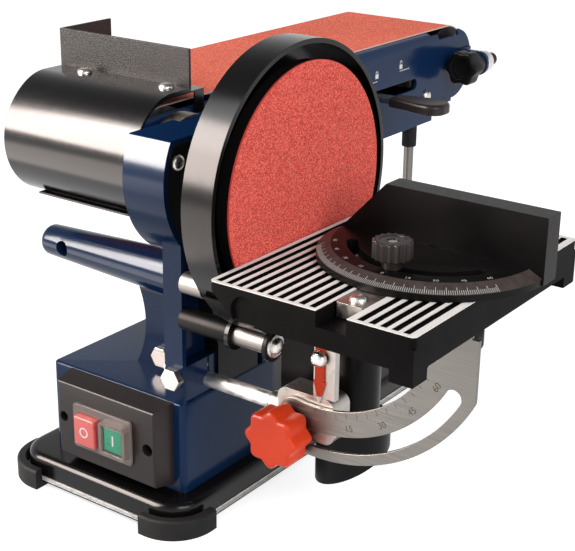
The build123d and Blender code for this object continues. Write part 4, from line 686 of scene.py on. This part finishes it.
def end_tree(geometry, material):
    """Ends a tree in real geometry with a material."""
    real = out("GeometryNodeRealizeInstances", {0: geometry})
    done = out("GeometryNodeSetMaterial", {"Geometry": real, "Material": material})
    put(done.id_data, "NodeGroupOutput", {0: done})
    return done.id_data


def joined(*parts):
    both = put(parts[0].id_data, "GeometryNodeJoinGeometry")
    for part in parts:
        feed(both, 0, part)
    return both.outputs[0]


def lifted(geometry, height):
    return out("GeometryNodeTransform", {"Geometry": geometry, "Translation": xyz(0, 0, height)})


def screw_tree():
    """Cross-head screws on points; each looks along the point's heading."""
    tree, given = node_tree("cross_head_screws", Float=(
        "Head Radius", "Head Height", "Recess", "Shank Radius", "Shank Length", "Washer Radius", "Washer Height",
    ))
    radius, height, recess = given["Head Radius"], given["Head Height"], given["Recess"]
    blank = out("GeometryNodeMeshCone", {
        "Vertices": 40, "Side Segments": 8, "Radius Top": radius, "Radius Bottom": radius, "Depth": height,
    })
    here = put(tree, "GeometryNodeInputPosition").outputs[0]
    level = calc("DIVIDE", part_of(here, 2), height)
    bulge = times(calc("POWER", level, 2.2), 0.86)
    narrow = calc("SQRT", minus(1.0, bulge))
    domed = vectors("MULTIPLY", here, xyz(narrow, narrow, 1.0))
    head = out("GeometryNodeSetPosition", {"Geometry": blank, "Position": domed})
    thin = times(recess, 0.24)
    arms = [
        out("GeometryNodeMeshCube", {"Size": xyz(wide, deep, height)})
        for wide, deep in ((recess, thin), (thin, recess))
    ]
    cross = lifted(joined(*arms), times(height, 1.1))
    slotted = out("GeometryNodeMeshBoolean", {0: head, 1: cross}, operation="DIFFERENCE")
    shank = out("GeometryNodeMeshCylinder", {
        "Vertices": 24, "Radius": given["Shank Radius"], "Depth": given["Shank Length"],
    })
    washer = out("GeometryNodeMeshCone", {
        "Vertices": 48, "Radius Top": times(given["Washer Radius"], 0.95),
        "Radius Bottom": given["Washer Radius"], "Depth": given["Washer Height"],
    })
    wanted = out("FunctionNodeCompare", {0: given["Washer Radius"], 1: 0.1 * MM}, operation="GREATER_THAN")
    whole = joined(
        lifted(slotted, given["Washer Height"]),
        lifted(shank, times(given["Shank Length"], -0.5)),
        out("GeometryNodeSwitch", {"Switch": wanted, "True": washer}, input_type="GEOMETRY"),
    )
    heading = put(tree, "GeometryNodeInputNamedAttribute", {"Name": "heading"}, data_type="FLOAT_VECTOR")
    ready = out("GeometryNodeInstanceOnPoints", {
        "Points": given["Geometry"], "Instance": whole,
        "Rotation": out("FunctionNodeAlignRotationToVector", {"Vector": heading.outputs[0]}, axis="Z"),
    })
    return end_tree(ready, given["Material"])


def scale_tree():
    """Scale marks along an arc about local Z, counted from -Y, with every few of them long."""
    tree, given = node_tree(
        "arc_scale_marks", Int=("Count", "Long Every"),
        Float=("Start", "Step", "Radius", "Short", "Long", "Width", "Height", "Slope"),
    )
    index = put(tree, "GeometryNodeInputIndex").outputs[0]
    turn = calc("ADD", given["Start"], times(index, given["Step"]))
    is_long = calc("LESS_THAN", calc("FLOORED_MODULO", index, given["Long Every"]), 0.5)
    extra = times(is_long, minus(given["Long"], given["Short"]))
    run = calc("ADD", given["Short"], extra)
    half = times(run, 0.5)
    inward = times(half, calc("COSINE", given["Slope"]))
    reach = minus(given["Radius"], inward)
    at = xyz(
        times(reach, calc("SINE", turn)),
        times(reach, times(calc("COSINE", turn), -1.0)),
        times(half, calc("SINE", given["Slope"])),
    )
    ready = out("GeometryNodeInstanceOnPoints", {
        "Points": out("GeometryNodePoints", {"Count": given["Count"], "Position": at}),
        "Instance": put(tree, "GeometryNodeMeshCube", {"Size": (1, 1, 1)}).outputs[0],
        "Rotation": out("FunctionNodeEulerToRotation", {0: xyz(given["Slope"], 0, turn)}),
        "Scale": xyz(given["Width"], run, given["Height"]),
    })
    return end_tree(ready, given["Material"])


def groove_tree():
    """Rows of grooves cut into the top of a table, one row on each side of its slot."""
    given = node_tree(
        "table_grooves", Vector=("Inner Middle", "Outer Middle"), Int=("Inner Count", "Outer Count"),
        Float=("Pitch", "Width", "Length", "Depth"),
    )[1]
    size = xyz(given["Width"], given["Length"], times(given["Depth"], 2.0))
    cutter = out("GeometryNodeMeshCube", {"Size": size})
    step = xyz(given["Pitch"])
    rows = []
    for side in ("Inner", "Outer"):
        number = given[side + " Count"]
        half = times(minus(number, 1.0), -0.5)
        back = out("ShaderNodeVectorMath", {0: step, "Scale": half}, operation="SCALE")
        start = vectors("ADD", given[side + " Middle"], back)
        row = out("GeometryNodeMeshLine", {"Count": number, "Start Location": start, "Offset": step})
        rows.append(out("GeometryNodeInstanceOnPoints", {"Points": row, "Instance": cutter}))
    cutters = out("GeometryNodeRealizeInstances", {0: joined(*rows)})
    cut = out("GeometryNodeMeshBoolean", {0: given["Geometry"], 1: cutters}, operation="DIFFERENCE")
    return end_tree(cut, given["Material"])


def coil_tree():
    """Round wire wound about local Z."""
    given = node_tree("tension_coil", Float=("Turns", "Radius", "Height", "Wire"))[1]
    path = out("GeometryNodeCurveSpiral", {
        "Resolution": 28, "Rotations": given["Turns"], "Start Radius": given["Radius"],
        "End Radius": given["Radius"], "Height": given["Height"],
    })
    ring = out("GeometryNodeCurvePrimitiveCircle", {"Resolution": 12, "Radius": given["Wire"]})
    wire = out("GeometryNodeCurveToMesh", {"Curve": path, "Profile Curve": ring, "Fill Caps": True})
    return end_tree(wire, given["Material"])


def grown(tree, values, source=None):
    """The plain mesh that a tree makes from its named inputs."""
    carrier = linked(tree.name, source or bpy.data.meshes.new(tree.name))
    modifier = carrier.modifiers.new(tree.name, "NODES")
    modifier.node_group = tree
    for item in tree.interface.items_tree:
        if item.in_out == "INPUT" and item.name in values:
            modifier[item.identifier] = values[item.name]
    depsgraph = bpy.context.evaluated_depsgraph_get()
    mesh = bpy.data.meshes.new_from_object(carrier.evaluated_get(depsgraph), depsgraph=depsgraph)
    carrier.modifiers.remove(modifier)
    bpy.data.objects.remove(carrier)
    if not mesh.polygons:
        raise RuntimeError(tree.name + " made nothing")
    return mesh


def extent(points):
    """The low and the high corner of the points."""
    return [Vector([pick(point[axis] for point in points) for axis in range(3)]) for pick in (min, max)]


def islands(node):
    """Points of each loose piece of a CAD node."""
    shape = welded(NODES[node].data)
    left, found = set(shape.verts), []
    while left:
        group, edge = set(), [left.pop()]
        while edge:
            vert = edge.pop()
            group.add(vert)
            near = {link.other_vert(vert) for link in vert.link_edges} & left
            left -= near
            edge.extend(near)
        found.append([vert.co.copy() for vert in group])
    shape.free()
    return sorted(found, key=lambda points: extent(points)[0][:])


def screw_seat(points, head_height, washer_height):
    """Where a CAD screw's head or washer sits, the way it looks, and its washer's radius or 0."""
    low, high = extent(points)
    size, middle = high - low, (low + high) / 2
    axis = min(range(3), key=lambda k: abs(size[(k + 1) % 3] - size[(k + 2) % 3]))
    across = [(axis + 1) % 3, (axis + 2) % 3]
    slack = 0.1 * MM

    def reach(end, depth):
        near = [point for point in points if abs(point[axis] - end) < depth]
        return max(sum((point[k] - middle[k]) ** 2 for k in across) ** 0.5 for point in near)

    way = 1 if reach(high[axis], slack) > reach(low[axis], slack) else -1
    end = high[axis] if way > 0 else low[axis]
    head = reach(end, head_height - slack)
    widest = size[across[0]] / 2
    washer = widest if widest > head + 2 * slack else 0.0
    seat = middle.copy()
    seat[axis] = end - way * (head_height + (washer_height if washer else 0))
    return seat, [way if k == axis else 0 for k in range(3)], round(washer, 5)


def screws(node):
    """Detailed screws in place of a CAD node of plain ones."""
    tree = bpy.data.node_groups.get("cross_head_screws") or screw_tree()
    seats = [screw_seat(points, sizes().head_height, sizes().washer_height) for points in islands(node)]
    shape = bmesh.new()
    for washer in sorted({seat[2] for seat in seats}):
        chosen = [seat for seat in seats if seat[2] == washer]
        points = bpy.data.meshes.new(node + "_points")
        points.from_pydata([seat[0] for seat in chosen], [], [])
        heading = points.attributes.new("heading", "FLOAT_VECTOR", "POINT")
        heading.data.foreach_set("vector", [part for seat in chosen for part in seat[1]])
        mesh = grown(tree, {
            "Head Radius": sizes().head_radius, "Head Height": sizes().head_height, "Recess": sizes().recess,
            "Shank Radius": 2.0 * MM, "Shank Length": 4.0 * MM, "Washer Radius": washer,
            "Washer Height": sizes().washer_height if washer else 0.0, "Material": finish("bright_plate"),
        }, points)
        shape.from_mesh(mesh)
        bpy.data.meshes.remove(mesh)
    added(node + "_cross_head", shape, node, "bright_plate", None, [node], 28)


def scale_marks(name, node, material, place, values):
    """A ring of scale marks as one piece."""
    tree = bpy.data.node_groups.get("arc_scale_marks") or scale_tree()
    mesh = grown(tree, {
        "Width": sizes().mark_width, "Height": 2 * sizes().mark_height, "Material": finish(material), **values,
    })
    mesh.transform(place)
    settled(name, mesh, BODY_OF[node], material)


class SANDER_OT_base(bpy.types.Operator):
    """Pan on its rubber feet, and the housing above it"""
    bl_idname = "sander.base"
    bl_label = "Base"

    def execute(self, context):
        dressed("base_pan", "pan_gloss")
        dressed("rubber_feet", "soft_rubber", "soft_edge")
        dressed("base_housing", "navy_paint")
        return {"FINISHED"}


class SANDER_OT_upright(bpy.types.Operator):
    """Bell on its column, tapered bar and drive cover"""
    bl_idname = "sander.upright"
    bl_label = "Upright"

    def execute(self, context):
        dressed("drive_upright", "bell_gloss", "soft_edge")
        dressed("bar_and_web", "bar_gloss")
        dressed("drive_cover", "black_moulding")
        return {"FINISHED"}


class SANDER_OT_drive(bpy.types.Operator):
    """Motor, pulleys, toothed belt, bearings and drum inside the machine"""
    bl_idname = "sander.drive"
    bl_label = "Drive"

    def execute(self, context):
        carried("zinc_plate", "bearing_carrier")
        carried("dark_casting", "drive_drum", "motor_body")
        carried("drawn_steel", "spindle_bearings", "spindle_shaft", "motor_shaft")
        carried("black_moulding", "driven_pulley", "motor_pulley")
        carried("toothed_rubber", "toothed_belt")
        return {"FINISHED"}


class SANDER_OT_disc(bpy.types.Operator):
    """Disc plate with its abrasive disc"""
    bl_idname = "sander.disc"
    bl_label = "Disc"

    def execute(self, context):
        dressed("disc_plate", "black_satin")
        dressed("abrasive_disc", "disc_grit", None)
        return {"FINISHED"}


class SANDER_OT_guard(bpy.types.Operator):
    """Guard behind the disc, on its spacers; the long ones have sleeves"""
    bl_idname = "sander.guard"
    bl_label = "Disc guard"

    def execute(self, context):
        dressed("disc_guard", "black_gloss")
        dressed("guard_spacers", "sheet_steel")
        sleeves = bmesh.new()
        for points in islands("guard_spacers"):
            low, high = extent(points)
            if high.x - low.x > 30 * MM:
                wall = (high.z - low.z) / 2 / MM + 0.5
                place = placed(0, (low.y + high.y) / 2, (low.z + high.z) / 2, FACING_SIDE)
                turned(sleeves, rounded(wall, low.x / MM, high.x / MM, 0.3), place)
        added("spacer_sleeves", sleeves, "guard_spacers", "black_moulding", "black_plastic")
        return {"FINISHED"}


class SANDER_OT_dust(bpy.types.Operator):
    """Dust hood under the disc, with its hose socket"""
    bl_idname = "sander.dust"
    bl_label = "Dust hood"

    def execute(self, context):
        for node in ("dust_hood", "dust_port"):
            dressed(node, "black_moulding", "soft_edge")
        return {"FINISHED"}


class SANDER_OT_switch(bpy.types.Operator):
    """Switch box with its clear frame, the two buttons and their signs"""
    bl_idname = "sander.switch"
    bl_label = "Switch"

    def execute(self, context):
        dressed("switch_box", "warm_moulding", "soft_edge", self.box_with_wide_holes())
        dressed("switch_unit", "hazy_clear")
        ring = bow(3.6, 2.7)
        for node, material, outlines in (
            ("stop_button", "stop_red", (ring, [(-x, -y) for x, y in ring])),
            ("start_button", "start_green", (bar(1.2, 7.2),)),
        ):
            dressed(node, material)
            low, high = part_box(node)
            place = placed((low.x + high.x) / 2, low.y, (low.z + high.z) / 2, FACING_FRONT)
            printed(node + "_sign", node, outlines, place)
        return {"FINISHED"}

    def box_with_wide_holes(self):
        """The box with its two screw holes opened up as far as the edges allow."""
        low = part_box("switch_box")[0]
        shape = merged(welded(NODES["switch_box"].data))
        for side, lift, shift, wider in ((6.5, 30.0, 0.5, 1.35), (80.5, 28.0, -0.7, 1.6)):
            axis = Vector((low.x + side * MM, 0, low.z + lift * MM))
            for vert in shape.verts:
                off = Vector((vert.co.x - axis.x, 0, vert.co.z - axis.z))
                if off.length < 2.8 * MM:
                    vert.co += off * (wider - 1) + Vector((shift * MM, 0, 0))
        return shape


class SANDER_OT_table(bpy.types.Operator):
    """Grooved work table"""
    bl_idname = "sander.table"
    bl_label = "Work table"

    def execute(self, context):
        low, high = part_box("work_table")
        slot_low, slot_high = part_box("mitre_bar")
        middle = (low + high) / 2
        mesh = grown(groove_tree(), {
            "Inner Middle": ((low.x + slot_low.x) / 2, middle.y, high.z), "Inner Count": 10,
            "Outer Middle": ((slot_high.x + high.x) / 2, middle.y, high.z), "Outer Count": 5,
            "Pitch": sizes().groove_pitch, "Width": sizes().groove_width, "Depth": sizes().groove_depth,
            "Length": high.y - low.y - 2 * sizes().groove_end, "Material": finish("ribbed_top"),
        }, self.plain_top(high.z))
        dressed("work_table", "ribbed_top", "edge", merged(welded(mesh)))
        return {"FINISHED"}

    def plain_top(self, top):
        """The table with the grooves of its CAD node filled."""
        shape = welded(NODES["work_table"].data)
        for vert in shape.verts:
            if top - 2 * MM < vert.co.z:
                vert.co.z = top
        bmesh.ops.remove_doubles(shape, verts=shape.verts, dist=WELD)
        bmesh.ops.dissolve_degenerate(shape, edges=shape.edges, dist=WELD / 10)
        mesh = bpy.data.meshes.new("plain_table")
        merged(shape).to_mesh(mesh)
        shape.free()
        return mesh


class SANDER_OT_support(bpy.types.Operator):
    """Rod, block, post and pointer that carry the table"""
    bl_idname = "sander.support"
    bl_label = "Table support"

    def execute(self, context):
        dressed("table_rod", "satin_rod")
        dressed("end_block", "zinc_plate")
        dressed("pivot_post", "zinc_plate")
        dressed("rod_clamp", "navy_paint")
        dressed("pivot_bolt", "bright_plate")
        dressed("tilt_pointer", "tipped_red", None)
        return {"FINISHED"}


class SANDER_OT_quadrant(bpy.types.Operator):
    """Slotted quadrant with its marks and figures"""
    bl_idname = "sander.quadrant"
    bl_label = "Tilt quadrant"

    def execute(self, context):
        node = "tilt_quadrant"
        dressed(node, "sheet_steel")
        pivot = PIVOTS["table_tilt"]
        place = placed(pivot.x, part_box(node)[0].y, pivot.z, FACING_FRONT)
        scale_marks("quadrant_marks", node, "dark_print", place, {
            "Count": 13, "Start": radians(0), "Step": radians(5), "Radius": 87.6 * MM, "Short": 2.8 * MM,
            "Long": 4.0 * MM, "Long Every": 3, "Slope": 0.0,
        })
        figures("quadrant_figures", node, "dark_print", place, 93.5, 0, (15, 30, 45, 60), 1.4)
        return {"FINISHED"}


class SANDER_OT_tilt_knob(bpy.types.Operator):
    """Lobed red knob on its steel stud"""
    bl_idname = "sander.tilt_knob"
    bl_label = "Tilt knob"

    def execute(self, context):
        node, centre = "tilt_knob", PIVOTS["tilt_clamp_turn"]
        low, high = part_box(node)
        place = placed(centre.x, low.y, centre.z, FACING_FRONT)
        hollow = 2.9
        profile = rounded(18.9, -19.5, 0, 2.4, hollow)
        profile += [(15.6, 0.0, hollow * 0.8), (12.0, -0.1), (6.0, -0.5), (2.0, -0.6)]
        turned_piece(
            "tilt_knob_grip", node, "knob_red", place,
            (profile, KNOB_STEPS, sizes().tilt_lobes), (rounded(9, -21.4, -19.2, 0.4), 64),
            stands_for=[node], limit=KNOB_SHARP,
        )
        stud = rounded(2.95, (low.y - high.y) / MM, -21, 0.5)
        turned_piece("tilt_knob_stud", node, "bright_plate", place, (stud, STUD_STEPS), slot="bright_screws")
        return {"FINISHED"}


class SANDER_OT_mitre(bpy.types.Operator):
    """Mitre gauge: slide, protractor head with its scale, and fluted knob"""
    bl_idname = "sander.mitre"
    bl_label = "Mitre gauge"

    def execute(self, context):
        node, pivot = "mitre_head", PIVOTS["mitre_angle"]
        dressed("mitre_bar", "zinc_plate")
        dressed(node, "protractor_black", "soft_edge")
        rim = placed(pivot.x, pivot.y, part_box(node)[0].z + 4 * MM)
        scale_marks("mitre_marks", node, "faint_print", rim @ placed(0, 0, 0.2 * MM), {
            "Count": 121, "Start": radians(-60), "Step": radians(1), "Radius": 67.2 * MM, "Short": 3.0 * MM,
            "Long": 5.0 * MM, "Long Every": 5, "Slope": 0.4636,
        })
        figures("mitre_figures", node, "faint_print", rim, 57.0, 4, range(-60, 61, 15), 0.8)
        self.knob()
        return {"FINISHED"}

    def knob(self):
        node, centre = "mitre_knob", PIVOTS["mitre_clamp_turn"]
        low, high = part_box(node)
        place = placed(centre.x, centre.y, high.z)
        profile = [(5.5, -15.9), (5.5, -10.6), (8.4, -10.5)] + rounded(11.4, -10.5, 0, 0.9, 1.4)[1:]
        profile += [(7.6, 0.0), (7.2, -0.5), (3.4, -0.6), (3.2, -1.6)]
        turned_piece(
            "mitre_knob_grip", node, "warm_moulding", place, (profile, KNOB_STEPS, sizes().flutes),
            stands_for=[node], limit=KNOB_SHARP,
        )
        stud, tip = rounded(2.95, (low.z - high.z) / MM, -15.4, 0.4), rounded(2.9, -3, -1.2, 0.4)
        turned_piece(
            "mitre_knob_stud", node, "drawn_steel", place, (stud, STUD_STEPS), (tip, STUD_STEPS),
            slot="bright_screws",
        )


class SANDER_OT_arm(bpy.types.Operator):
    """Folded belt arm with its tray, bracket and printed lock signs"""
    bl_idname = "sander.arm"
    bl_label = "Belt arm"

    def execute(self, context):
        for node in ("arm_channel", "belt_tray", "tracking_bracket"):
            dressed(node, "navy_paint")
        pivot = PIVOTS["lever_swing"]
        cheek = placed(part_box("arm_channel")[1].x, pivot.y, pivot.z, FACING_SIDE)
        outlines = (*self.padlock(0.7, 17.0, 0), *self.padlock(35.5, 19.0, 0.9), *self.arrows())
        printed("lock_signs", "arm_channel", outlines, cheek)
        return {"FINISHED"}

    def padlock(self, ahead, up, lift):
        """Outlines of a padlock; a lifted bow stands open on one side."""
        top = up + 1.3 + lift
        yield shifted(bar(4.2, 3.4), ahead, up - 1.2)
        yield shifted(bow(1.6, 1.0), ahead, top)
        for side, foot in ((-1, up + 0.4), (1, up + 0.4 + lift)):
            yield shifted(bar(0.6, top - foot), ahead + side * 1.3, (foot + top) / 2)

    def arrows(self):
        """Outlines of the lines under the locks; the second has a tip."""
        yield shifted(bar(11.0, 0.5), -3.8, 11.8)
        yield shifted(bar(14.0, 0.5), 41.0, 14.6)
        yield shifted([(-1.4, -0.8), (0.8, 0), (-1.4, 0.8)], 48.0, 14.6)


class SANDER_OT_belt(bpy.types.Operator):
    """Abrasive belt round the drums"""
    bl_idname = "sander.belt"
    bl_label = "Abrasive belt"

    def execute(self, context):
        dressed("abrasive_belt", "belt_grit", None)
        return {"FINISHED"}


class SANDER_OT_cover(bpy.types.Operator):
    """Drum cover and its crown, with the stop fence behind the crown"""
    bl_idname = "sander.cover"
    bl_label = "Drum cover"

    def execute(self, context):
        dressed("drum_cover", "cover_gloss")
        low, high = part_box("stop_fence")
        sheet, wall = 2 * MM, low.y + 17 * MM
        outline = [
            (low.x, wall), (high.x, wall), (high.x, wall + sheet), (low.x + sheet, wall + sheet),
            (low.x + sheet, high.y), (low.x, high.y),
        ]
        fence = bmesh.new()
        slab(fence, outline, placed(0, 0, low.z), high.z - low.z)
        dressed("stop_fence", "black_crinkle", "edge", fence)
        self.crown(wall - 0.25 * MM, sheet)
        return {"FINISHED"}

    def crown(self, rear, sheet):
        """Smooth top of the cover that carries the fence's screws and runs out down the front."""
        axis = PIVOTS["spindle_turn"]
        low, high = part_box("drum_cover")
        far, near = low.x + 4.2 * MM, high.x
        radius, steps, run_out, sunk = high.z - axis.z, 30, 52, 0.3 * MM
        skin, bed = [], []
        for step in range(steps + 1):
            share = step / steps
            turn = radians(run_out * share)
            reach = radius + 0.02 * MM + sheet * (0.5 + 0.5 * cos(pi * share))
            for line, out_to in ((skin, reach), (bed, radius - sunk)):
                line.append((axis.y - out_to * sin(turn), axis.z + out_to * cos(turn)))
        outline = [(rear, high.z + sheet)] + skin + bed[::-1] + [(rear, high.z - sunk)]
        crown = bmesh.new()
        slab(crown, outline, placed(far, 0, 0, FACING_SIDE), near - far)
        bmesh.ops.recalc_face_normals(crown, faces=crown.faces)
        added("drum_cover_crown", crown, "drum_cover", "cover_gloss")


class SANDER_OT_lever(bpy.types.Operator):
    """Tension lever with its paddle grip and pivot"""
    bl_idname = "sander.lever"
    bl_label = "Tension lever"

    def execute(self, context):
        dressed("lever_shank", "zinc_plate")
        dressed("lever_grip", "warm_moulding", "grip_edge")
        carried("drawn_steel", "lever_pivot")
        return {"FINISHED"}


class SANDER_OT_idler(bpy.types.Operator):
    """Idler roller on its axle and fork, pushed by the tension spring"""
    bl_idname = "sander.idler"
    bl_label = "Idler"

    def execute(self, context):
        dressed("idler_fork", "zinc_plate")
        dressed("idler_axle", "drawn_steel")
        dressed("idler_roller", "black_satin")
        carried("drawn_steel", "idler_bearings")
        node = "tension_spring"
        low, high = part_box(node)
        wire, middle = sizes().coil_wire, (low + high) / 2
        tree = bpy.data.node_groups.get("tension_coil") or coil_tree()
        mesh = grown(tree, {
            "Turns": float(sizes().coil_turns), "Radius": (high.x - low.x) / 2 - wire,
            "Height": high.y - low.y - 2 * wire, "Wire": wire, "Material": finish("drawn_steel"),
        })
        mesh.transform(placed(middle.x, high.y - wire, middle.z, FACING_FRONT))
        mesh.shade_smooth()
        settled("tension_coil_wire", mesh, BODY_OF[node], "drawn_steel", [node])
        return {"FINISHED"}


class SANDER_OT_tracking(bpy.types.Operator):
    """Tracking knob with its bright collar and lock nut"""
    bl_idname = "sander.tracking"
    bl_label = "Tracking knob"

    def execute(self, context):
        node, centre = "tracking_knob", PIVOTS["tracking_turn"]
        low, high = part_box(node)
        place = placed(centre.x, low.y, centre.z, FACING_FRONT)
        hollow, tail = 2.2, (low.y - high.y) / MM
        profile = [(8.6, -26.9), (8.9, -26.4), (8.9, -14.2), (11.4, -14, hollow / 2)]
        profile += rounded(14.4, -14, 0, 1.6, hollow)[1:]
        profile += [(9.4, 0.0), (8.6, -0.5), (8.2, -4.6), (7.4, -5)]
        turned_piece(
            "tracking_knob_grip", node, "black_moulding", place,
            (profile, KNOB_STEPS, sizes().tracking_lobes),
            (rounded(5.4, tail, tail + 12, 0.8), 48), stands_for=[node], limit=KNOB_SHARP,
        )
        turned_piece(
            "tracking_knob_collar", node, "bright_plate", place, (rounded(9, tail + 12, tail + 21, 1.2), 64),
            (rounded(3, tail + 20, -26.5, 0.3), STUD_STEPS), slot="bright_screws",
        )
        return {"FINISHED"}


class SANDER_OT_fasteners(bpy.types.Operator):
    """Cross-head screws and hex bolts"""
    bl_idname = "sander.fasteners"
    bl_label = "Screws and bolts"

    def execute(self, context):
        for node in ("panel_screws", "arm_screws", "pointer_screw", "bar_screw"):
            screws(node)
        dressed("hex_bolts", "drawn_steel")
        return {"FINISHED"}


class SANDER_OT_prop(bpy.types.Operator):
    """Prop under the arm with its rubber cap"""
    bl_idname = "sander.prop"
    bl_label = "Arm prop"

    def execute(self, context):
        dressed("prop_rod", "sheet_steel")
        dressed("prop_cap", "soft_rubber", "soft_edge")
        return {"FINISHED"}


class SANDER_OT_gland(bpy.types.Operator):
    """Cable gland at the back of the housing"""
    bl_idname = "sander.gland"
    bl_label = "Cable gland"

    def execute(self, context):
        dressed("cable_gland", "black_moulding")
        return {"FINISHED"}


class SANDER_OT_stage(bpy.types.Operator):
    """Pale floor, even white surroundings, soft lamps and the camera"""
    bl_idname = "sander.stage"
    bl_label = "Stage"

    def execute(self, context):
        studio = context.scene.sander_studio
        context.scene.view_settings.view_transform = "Standard"
        self.floor(studio)
        self.sky(context.scene, studio)
        for row in LAMPS:
            self.lamp(studio, *row)
        lens = bpy.data.cameras.new("camera")
        lens.sensor_width = 36
        lens.lens = studio.lens
        camera = linked("camera", lens)
        a, e, r = studio.azimuth, studio.elevation, studio.roll
        back = Vector((sin(a) * cos(e), -cos(a) * cos(e), sin(e)))
        right = Vector((cos(a), sin(a), 0))
        up = back.cross(right)
        turn = Matrix((right * cos(r) + up * sin(r), up * cos(r) - right * sin(r), back)).transposed()
        camera.matrix_world = Matrix.Translation(studio.place) @ turn.to_4x4()
        context.scene.camera = camera
        return {"FINISHED"}

    def emptied(self, holder):
        """The empty node tree of a material or a world."""
        holder.use_nodes = True
        holder.node_tree.nodes.clear()
        return holder.node_tree

    def seen(self, tree):
        """1 for rays that show the surroundings, else 0."""
        rays = put(tree, "ShaderNodeLightPath").outputs
        seen = calc("MAXIMUM", rays["Is Camera Ray"], rays["Is Glossy Ray"])
        return calc("MAXIMUM", seen, rays["Is Transmission Ray"])

    def floor(self, studio):
        shape = bmesh.new()
        bmesh.ops.create_grid(shape, x_segments=4, y_segments=4, size=4)
        ground = linked("floor", smoothed(shape, "floor"))
        material = bpy.data.materials.new("pale_floor")
        tree = self.emptied(material)
        matt = put(tree, "ShaderNodeBsdfDiffuse", {"Color": (*[studio.floor_grey] * 3, 1)}).outputs[0]
        strength = times(self.seen(tree), studio.floor_glow)
        glow = out("ShaderNodeEmission", {"Color": (1, 1, 1, 1), "Strength": strength})
        both = out("ShaderNodeAddShader", {0: matt, 1: glow})
        put(tree, "ShaderNodeOutputMaterial", {"Surface": both})
        ground.data.materials.append(material)

    def sky(self, scene, studio):
        world = bpy.data.worlds.new("white_surroundings")
        tree = self.emptied(world)
        height = part_of(put(tree, "ShaderNodeTexCoord").outputs["Generated"], 2)
        white = spread(height, 1.0, studio.ceiling, 0.3, 0.75)
        level = out("ShaderNodeMix", {0: self.seen(tree), 2: studio.sky, 3: white})
        light = out("ShaderNodeBackground", {"Color": (1, 1, 1, 1), "Strength": level})
        put(tree, "ShaderNodeOutputWorld", {"Surface": light})
        scene.world = world

    def lamp(self, studio, name, place, aim, width, height, watts, gloss_only):
        light = bpy.data.lights.new(name, "AREA")
        light.shape = "RECTANGLE"
        light.size, light.size_y = width, height
        light.energy = getattr(studio, watts)
        made = linked(name, light)
        turn = (Vector(aim) - Vector(place)).to_track_quat("-Z", "Y")
        made.matrix_world = Matrix.Translation(place) @ turn.to_matrix().to_4x4()
        if gloss_only:
            light.color = studio.warmth
            made.visible_diffuse = False
            made.visible_camera = False


PIECES = (
    SANDER_OT_base, SANDER_OT_upright, SANDER_OT_drive, SANDER_OT_disc, SANDER_OT_guard, SANDER_OT_dust,
    SANDER_OT_switch, SANDER_OT_table, SANDER_OT_support, SANDER_OT_quadrant, SANDER_OT_tilt_knob,
    SANDER_OT_mitre, SANDER_OT_arm, SANDER_OT_belt, SANDER_OT_cover, SANDER_OT_lever, SANDER_OT_idler,
    SANDER_OT_tracking, SANDER_OT_fasteners, SANDER_OT_prop, SANDER_OT_gland, SANDER_OT_stage,
)


class SANDER_PT_pieces(bpy.types.Panel):
    """The pieces of the sander, one button each, and their settings"""
    bl_idname = "SANDER_PT_pieces"
    bl_label = "Sander"
    bl_space_type = "VIEW_3D"
    bl_region_type = "UI"
    bl_category = "Sander"

    def draw(self, context):
        for piece in PIECES:
            self.layout.operator(piece.bl_idname)
        for group in (context.scene.sander_colours, context.scene.sander_sizes, context.scene.sander_studio):
            box = self.layout.box()
            for key in group.__annotations__:
                box.prop(group, key)


CLASSES = (SanderColours, SanderSizes, SanderStudio, *PIECES, SANDER_PT_pieces)


def register():
    for item in CLASSES:
        bpy.utils.register_class(item)
    bpy.types.Scene.sander_colours = PointerProperty(type=SanderColours)
    bpy.types.Scene.sander_sizes = PointerProperty(type=SanderSizes)
    bpy.types.Scene.sander_studio = PointerProperty(type=SanderStudio)


def unregister():
    del bpy.types.Scene.sander_studio
    del bpy.types.Scene.sander_sizes
    del bpy.types.Scene.sander_colours
    for item in reversed(CLASSES):
        bpy.utils.unregister_class(item)


def main():
    register()
    for piece in PIECES:
        group, name = piece.bl_idname.split(".")
        getattr(getattr(bpy.ops, group), name)()


if __name__ == "__main__":
    main()
